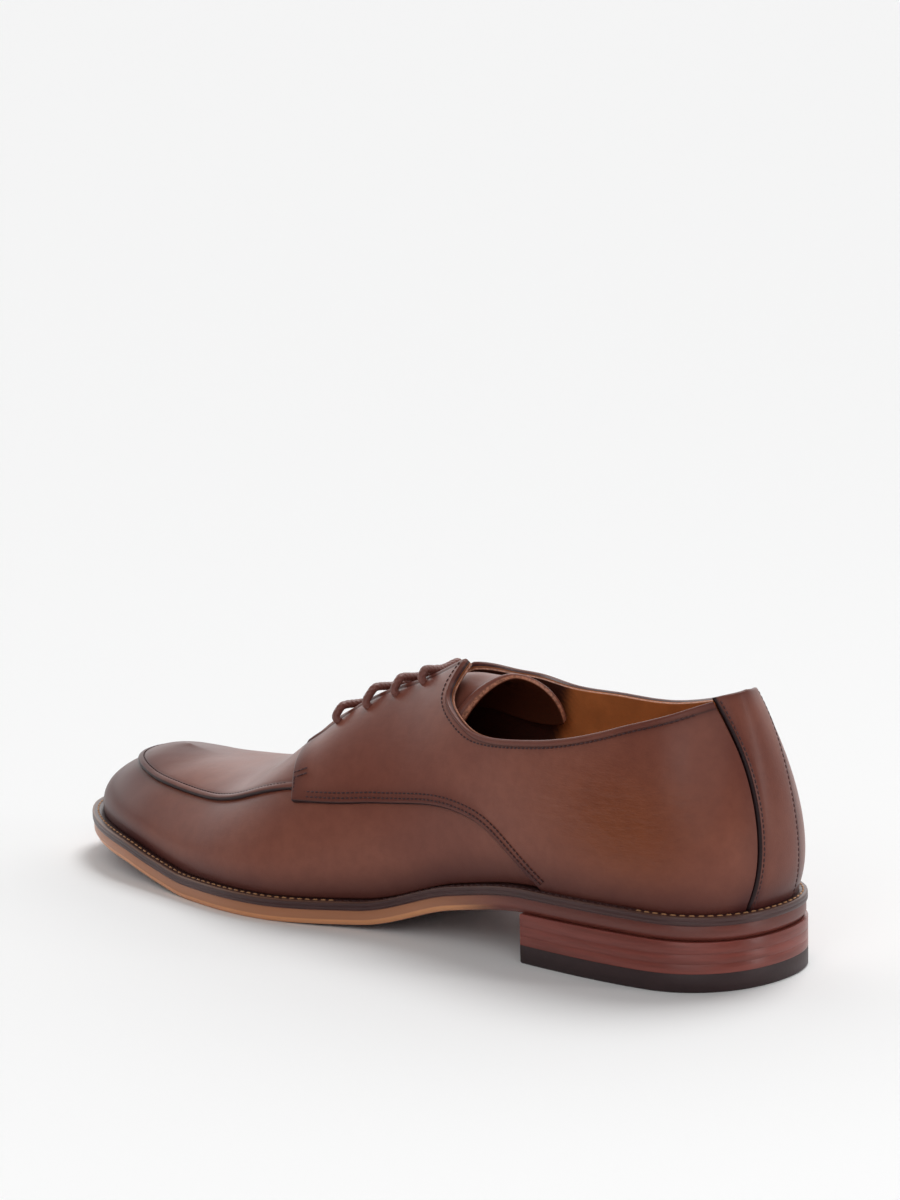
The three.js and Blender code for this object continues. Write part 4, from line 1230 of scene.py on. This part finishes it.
def add_heel():
    end = share_at(lambda t: np.array([edge_x(t), 0]), HEEL_LENGTH, 0.1, 0.5)
    plate("top_piece_rubber", end, 90, 12, [
        (0.6, flat(0), 0),
        (0.05, flat(0.55), 0),
        (0, flat(TOP_PIECE_THICKNESS - 0.15), 0),
        (0.12, flat(TOP_PIECE_THICKNESS), 0),
    ], RUBBER, ["top_piece"], BREAST_HOLLOW)
    for number in range(LIFT_COUNT):
        low = TOP_PIECE_THICKNESS + number * LIFT_THICKNESS
        is_last = number == LIFT_COUNT - 1
        high = above(sole_bottom, 0.05) if is_last else flat(low + LIFT_THICKNESS)
        plate(f"heel_lift_{number + 1}_edge", end, 90, 12, [
            (0.1, flat(low), 0.8),
            (0, flat(low + 0.12), 0.1),
            (0, flat(low + 0.3), 0),
            (0, above(high, -0.12), 0),
            (0.1, high, 0.5),
        ], STACK, [f"heel_lift_{number + 1}"], BREAST_HOLLOW)


# Lace
def smooth_path(points, step):
    """A smooth curve through points, with a point at every step of its length."""
    points = np.asarray(points, float)
    chord = np.concatenate([[0], np.cumsum(np.sqrt(np.linalg.norm(np.diff(points, axis=0), axis=-1)))])
    axes = [spline(chord, points[:, k]) for k in range(3)]
    fine = np.linspace(0, chord[-1], 4000)
    dense = np.stack([axis(fine) for axis in axes], -1)
    run = run_of(dense)
    return sampled(np.arange(0, run[-1], step), run, dense)


BRAID_DEPTH = 0.16
BRAID_TURN = 1.6


def braided_tube(name, path, radius, sides, material, replaced):
    """A closed round cord along a path, with the crossing ridges of a braid."""
    tangent = unit(np.gradient(path, axis=0))
    across = np.zeros_like(path)
    across[0] = unit(np.cross(tangent[0], [0.3, 0.9, 0.3]))
    for i in range(1, len(path)):
        across[i] = unit(across[i - 1] - tangent[i] * np.dot(across[i - 1], tangent[i]))
    other = np.cross(tangent, across)
    angle = np.linspace(0, 2 * np.pi, sides, endpoint=False)[None]
    length = run_of(path)[:, None]
    one = np.maximum(0, np.cos(4 * angle + length * BRAID_TURN * 2))
    two = np.maximum(0, np.cos(4 * angle - length * BRAID_TURN * 2))
    r = radius - BRAID_DEPTH + BRAID_DEPTH * np.maximum(one, two)
    points = path[:, None] + r[..., None] * (
        np.cos(angle)[..., None] * across[:, None] + np.sin(angle)[..., None] * other[:, None]
    )
    rows = len(path)
    wrapped = np.concatenate([points, points[:, :1]], 1).reshape(-1, 3)
    quads = grid_faces(rows, sides + 1)
    caps = [[i * (sides + 1) + j for j in range(sides)] for i in (0, rows - 1)]
    ends = np.stack([wrapped[cap].mean(0) for cap in caps])
    vertices = np.concatenate([wrapped, ends])
    fans = []
    for number, cap in enumerate(caps):
        centre = len(wrapped) + number
        for a, b in zip(cap, cap[1:] + cap[:1]):
            fans.append([centre, a, b, b] if number else [centre, b, a, a])
    points, faces, _ = merge_points(vertices, np.concatenate([quads, np.array(fans)])[:, ::-1])
    add_mesh(name, points, faces, material, replaced)


LACE_DEPTH = 3.2


def add_lace():
    for i, (around, up, edge) in enumerate(EYELETS):
        def over(side, height, rise, around=around):
            t = np.array(around if side > 0 else 2 - around)
            return skin_point(t, np.array(rise), np.array(QUARTER_TOP + height))

        rise = mix(up, edge, 0.55)
        middle = (over(1, LACE_ARCH, edge) + over(-1, LACE_ARCH, edge)) / 2
        middle[2] -= LACE_DIP
        stops = [(-LACE_DEPTH, up), (-1.0, up), (LACE_DIAMETER / 2, up), (LACE_ARCH, rise),
                 (LACE_ARCH, edge)]
        near = [over(1, *stop) for stop in stops]
        far = [over(-1, *stop) for stop in reversed(stops)]
        route = near + [middle] + far
        braided_tube(f"lace_{i + 1}", smooth_path(route, 0.2), LACE_DIAMETER / 2, 24, LACE,
                     [f"lace_bar_{i + 1}"])


# Stitches
def surface_frame(side, places, offset, surface):
    """Points and normals at places on the last, with the directions of around and up."""
    t = np.clip(places[:, 0], 0, 1)
    t = t if side > 0 else 2 - t
    h = places[:, 1]
    o = np.broadcast_to(offset, t.shape).astype(float)
    step = 1e-4
    sign = 1 if side > 0 else -1
    point = surface(t, h, o)
    by_around = (surface(t + sign * step, h, o) - surface(t - sign * step, h, o)) / (2 * step)
    by_up = (surface(t, h + step, o) - surface(t, h - step, o)) / (2 * step)
    normal = unit(np.cross(by_up, by_around)) * sign
    return point, normal, by_around, by_up


def inset_line(side, places, distance, surface=skin_point):
    """A line on the last, moved sideways over the surface by a distance (to the left of its run)."""
    for _ in range(3):
        point, normal, by_around, by_up = surface_frame(side, places, 0.0, surface)
        tangent = unit(np.gradient(point, axis=0))
        inward = np.cross(normal, tangent) * distance / 3
        a = (by_around * by_around).sum(-1)
        b = (by_around * by_up).sum(-1)
        c = (by_up * by_up).sum(-1)
        p = (inward * by_around).sum(-1)
        q = (inward * by_up).sum(-1)
        det = np.maximum(a * c - b * b, 1e-9)
        places = places + np.stack([(c * p - b * q) / det, (a * q - b * p) / det], -1)
    return places


# Each row's distance from its edge, and where the bar tacks lie along the quarters' fronts
SEAM_STITCHES = (1.7, 3.4)
SEAM_START = 0.012
COLLAR_STITCH = 2.7
FRONT_STITCH = 1.2
APRON_STITCH = 2.5
STITCH_SPACING = 1.75
WELT_STITCH_SPACING = 2.9
WELT_STITCH_INSETS = (1.5, 2.1)
STITCH_SKIP = 0.6
TACK_SHARES = (0.67, 0.735)
TACK_REACH = (0.4, 6.6)
STITCH_RINGS = ((-0.5, 0.0), (-0.44, 0.62), (-0.25, 1.0), (0.25, 1.0), (0.44, 0.62), (0.5, 0.0))
STITCH_SIDES = 6


def add_stitch_piece(name, rows, length, radius, material):
    """Capsules along rows of (points, normals): one for each stitch."""
    angle = np.linspace(0, 2 * np.pi, STITCH_SIDES, endpoint=False)
    vertices, faces = [], []
    start = 0
    ring_count = len(STITCH_RINGS)
    base = grid_faces(ring_count, STITCH_SIDES + 1)
    base = base // (STITCH_SIDES + 1) * STITCH_SIDES + base % (STITCH_SIDES + 1) % STITCH_SIDES
    for points, normals in rows:
        tangent = unit(np.gradient(points, axis=0))
        for point, normal, ahead in zip(points, normals, tangent):
            side = np.cross(normal, ahead)
            for along, wide in STITCH_RINGS:
                sag = -0.9 * radius * (2 * along) ** 4
                centre = point + ahead * along * length + normal * sag
                vertices.append(centre + radius * wide * (np.cos(angle)[:, None] * side
                                                          + np.sin(angle)[:, None] * normal * 0.8))
            faces.append(base + start)
            start += ring_count * STITCH_SIDES
    points, faces, _ = merge_points(np.concatenate(vertices), np.concatenate(faces))
    add_mesh(name, points, faces, material)


def stitch_row(side, places, offset, spacing, surface=skin_point):
    """Evenly spaced stitches' points and normals along a line on the last."""
    point, _, _, _ = surface_frame(side, places, offset, surface)
    run = run_of(point)
    wanted = np.arange(STITCH_SKIP * spacing, run[-1] - STITCH_SKIP * spacing / 2, spacing)
    spots = sampled(wanted, run, places)
    point, normal, _, _ = surface_frame(side, spots, offset, surface)
    return point, normal


def add_stitches():
    rows = []
    level = QUARTER_TOP + 0.1
    stay_level = LAYER_GAP + BACKSTAY_THICKNESS - 0.08
    for side in (1, -1):
        # line, its first share, points along it, distance from it, height and spacing
        sewn = [(seam, SEAM_START, 240, distance, level + edge_raise(distance), STITCH_SPACING)
                for distance in SEAM_STITCHES]
        sewn += [
            (collars[side], 0.1, 220, COLLAR_STITCH, level, STITCH_SPACING),
            (front, TACK_SHARES[1], 80, FRONT_STITCH, level + 0.68, 1.45),
            (stay, 0, 200, -STAY_STITCH, stay_level, STITCH_SPACING),
        ]
        for edge, first, count, distance, height, spacing in sewn:
            line = inset_line(side, edge(np.linspace(first, 1, count)), side * distance)
            rows.append(stitch_row(side, line, height, spacing))
        for share in TACK_SHARES:
            near = front(np.linspace(share - 0.03, share + 0.03, 21))
            ends = [inset_line(side, near, side * reach)[10] for reach in TACK_REACH]
            line = ends[0] + (ends[1] - ends[0]) * np.linspace(0, 1, 40)[:, None]
            rows.append(stitch_row(side, line, level + 0.6, 1.5))
    add_stitch_piece("upper_stitches", rows, 1.45, 0.27, THREAD)
    rows = []
    for side in (1, -1):
        line = inset_line(side, apron_line(np.linspace(0.02, 1, 300)), -side * APRON_STITCH)
        line = line[line[:, 1] < 0.995]
        rows.append(stitch_row(side, line, LAYER_GAP + APRON_THICKNESS + 0.02, 1.7, surface=seated))
    add_stitch_piece("apron_stitches", rows, 1.35, 0.22, THREAD)


def add_welt_stitches():
    rows = {"light": [], "dark": []}
    signed = np.linspace(-1, 1, 6001)
    t = np.where(signed < 0, signed + 2, signed)
    inset = mix(WELT_STITCH_INSETS[0], WELT_STITCH_INSETS[1], fore_share(t))
    x, y = edge_point(t, inset)
    points = np.stack([x, y, welt_top(x) + 0.03], -1)
    run = run_of(points)
    wanted = np.arange(1, run[-1] - 1, WELT_STITCH_SPACING)
    spots = sampled(wanted, run, points)
    unwrapped = np.interp(wanted, run, signed)
    light = (np.abs(unwrapped) > 0.52) | (np.abs(unwrapped) < 0.16)
    for key, chosen in (("light", light), ("dark", ~light)):
        cuts = np.split(np.arange(len(spots)), np.where(np.diff(chosen.astype(int)) != 0)[0] + 1)
        for cut in cuts:
            if len(cut) > 2 and chosen[cut[0]]:
                rows[key].append((spots[cut], np.tile([0.0, 0.0, 1.0], (len(cut), 1))))
    for key, material in (("light", THREAD_TAN), ("dark", THREAD)):
        add_stitch_piece(f"welt_stitches_{key}", rows[key], 2.3, 0.36, material)


add_camera()
add_studio()
add_lining()
add_vamp()
for quarter_side in (1, -1):
    add_quarter(quarter_side)
add_apron()
add_backstay()
add_tongue()
add_welt()
add_sole()
add_heel()
add_lace()
add_stitches()
add_welt_stitches()
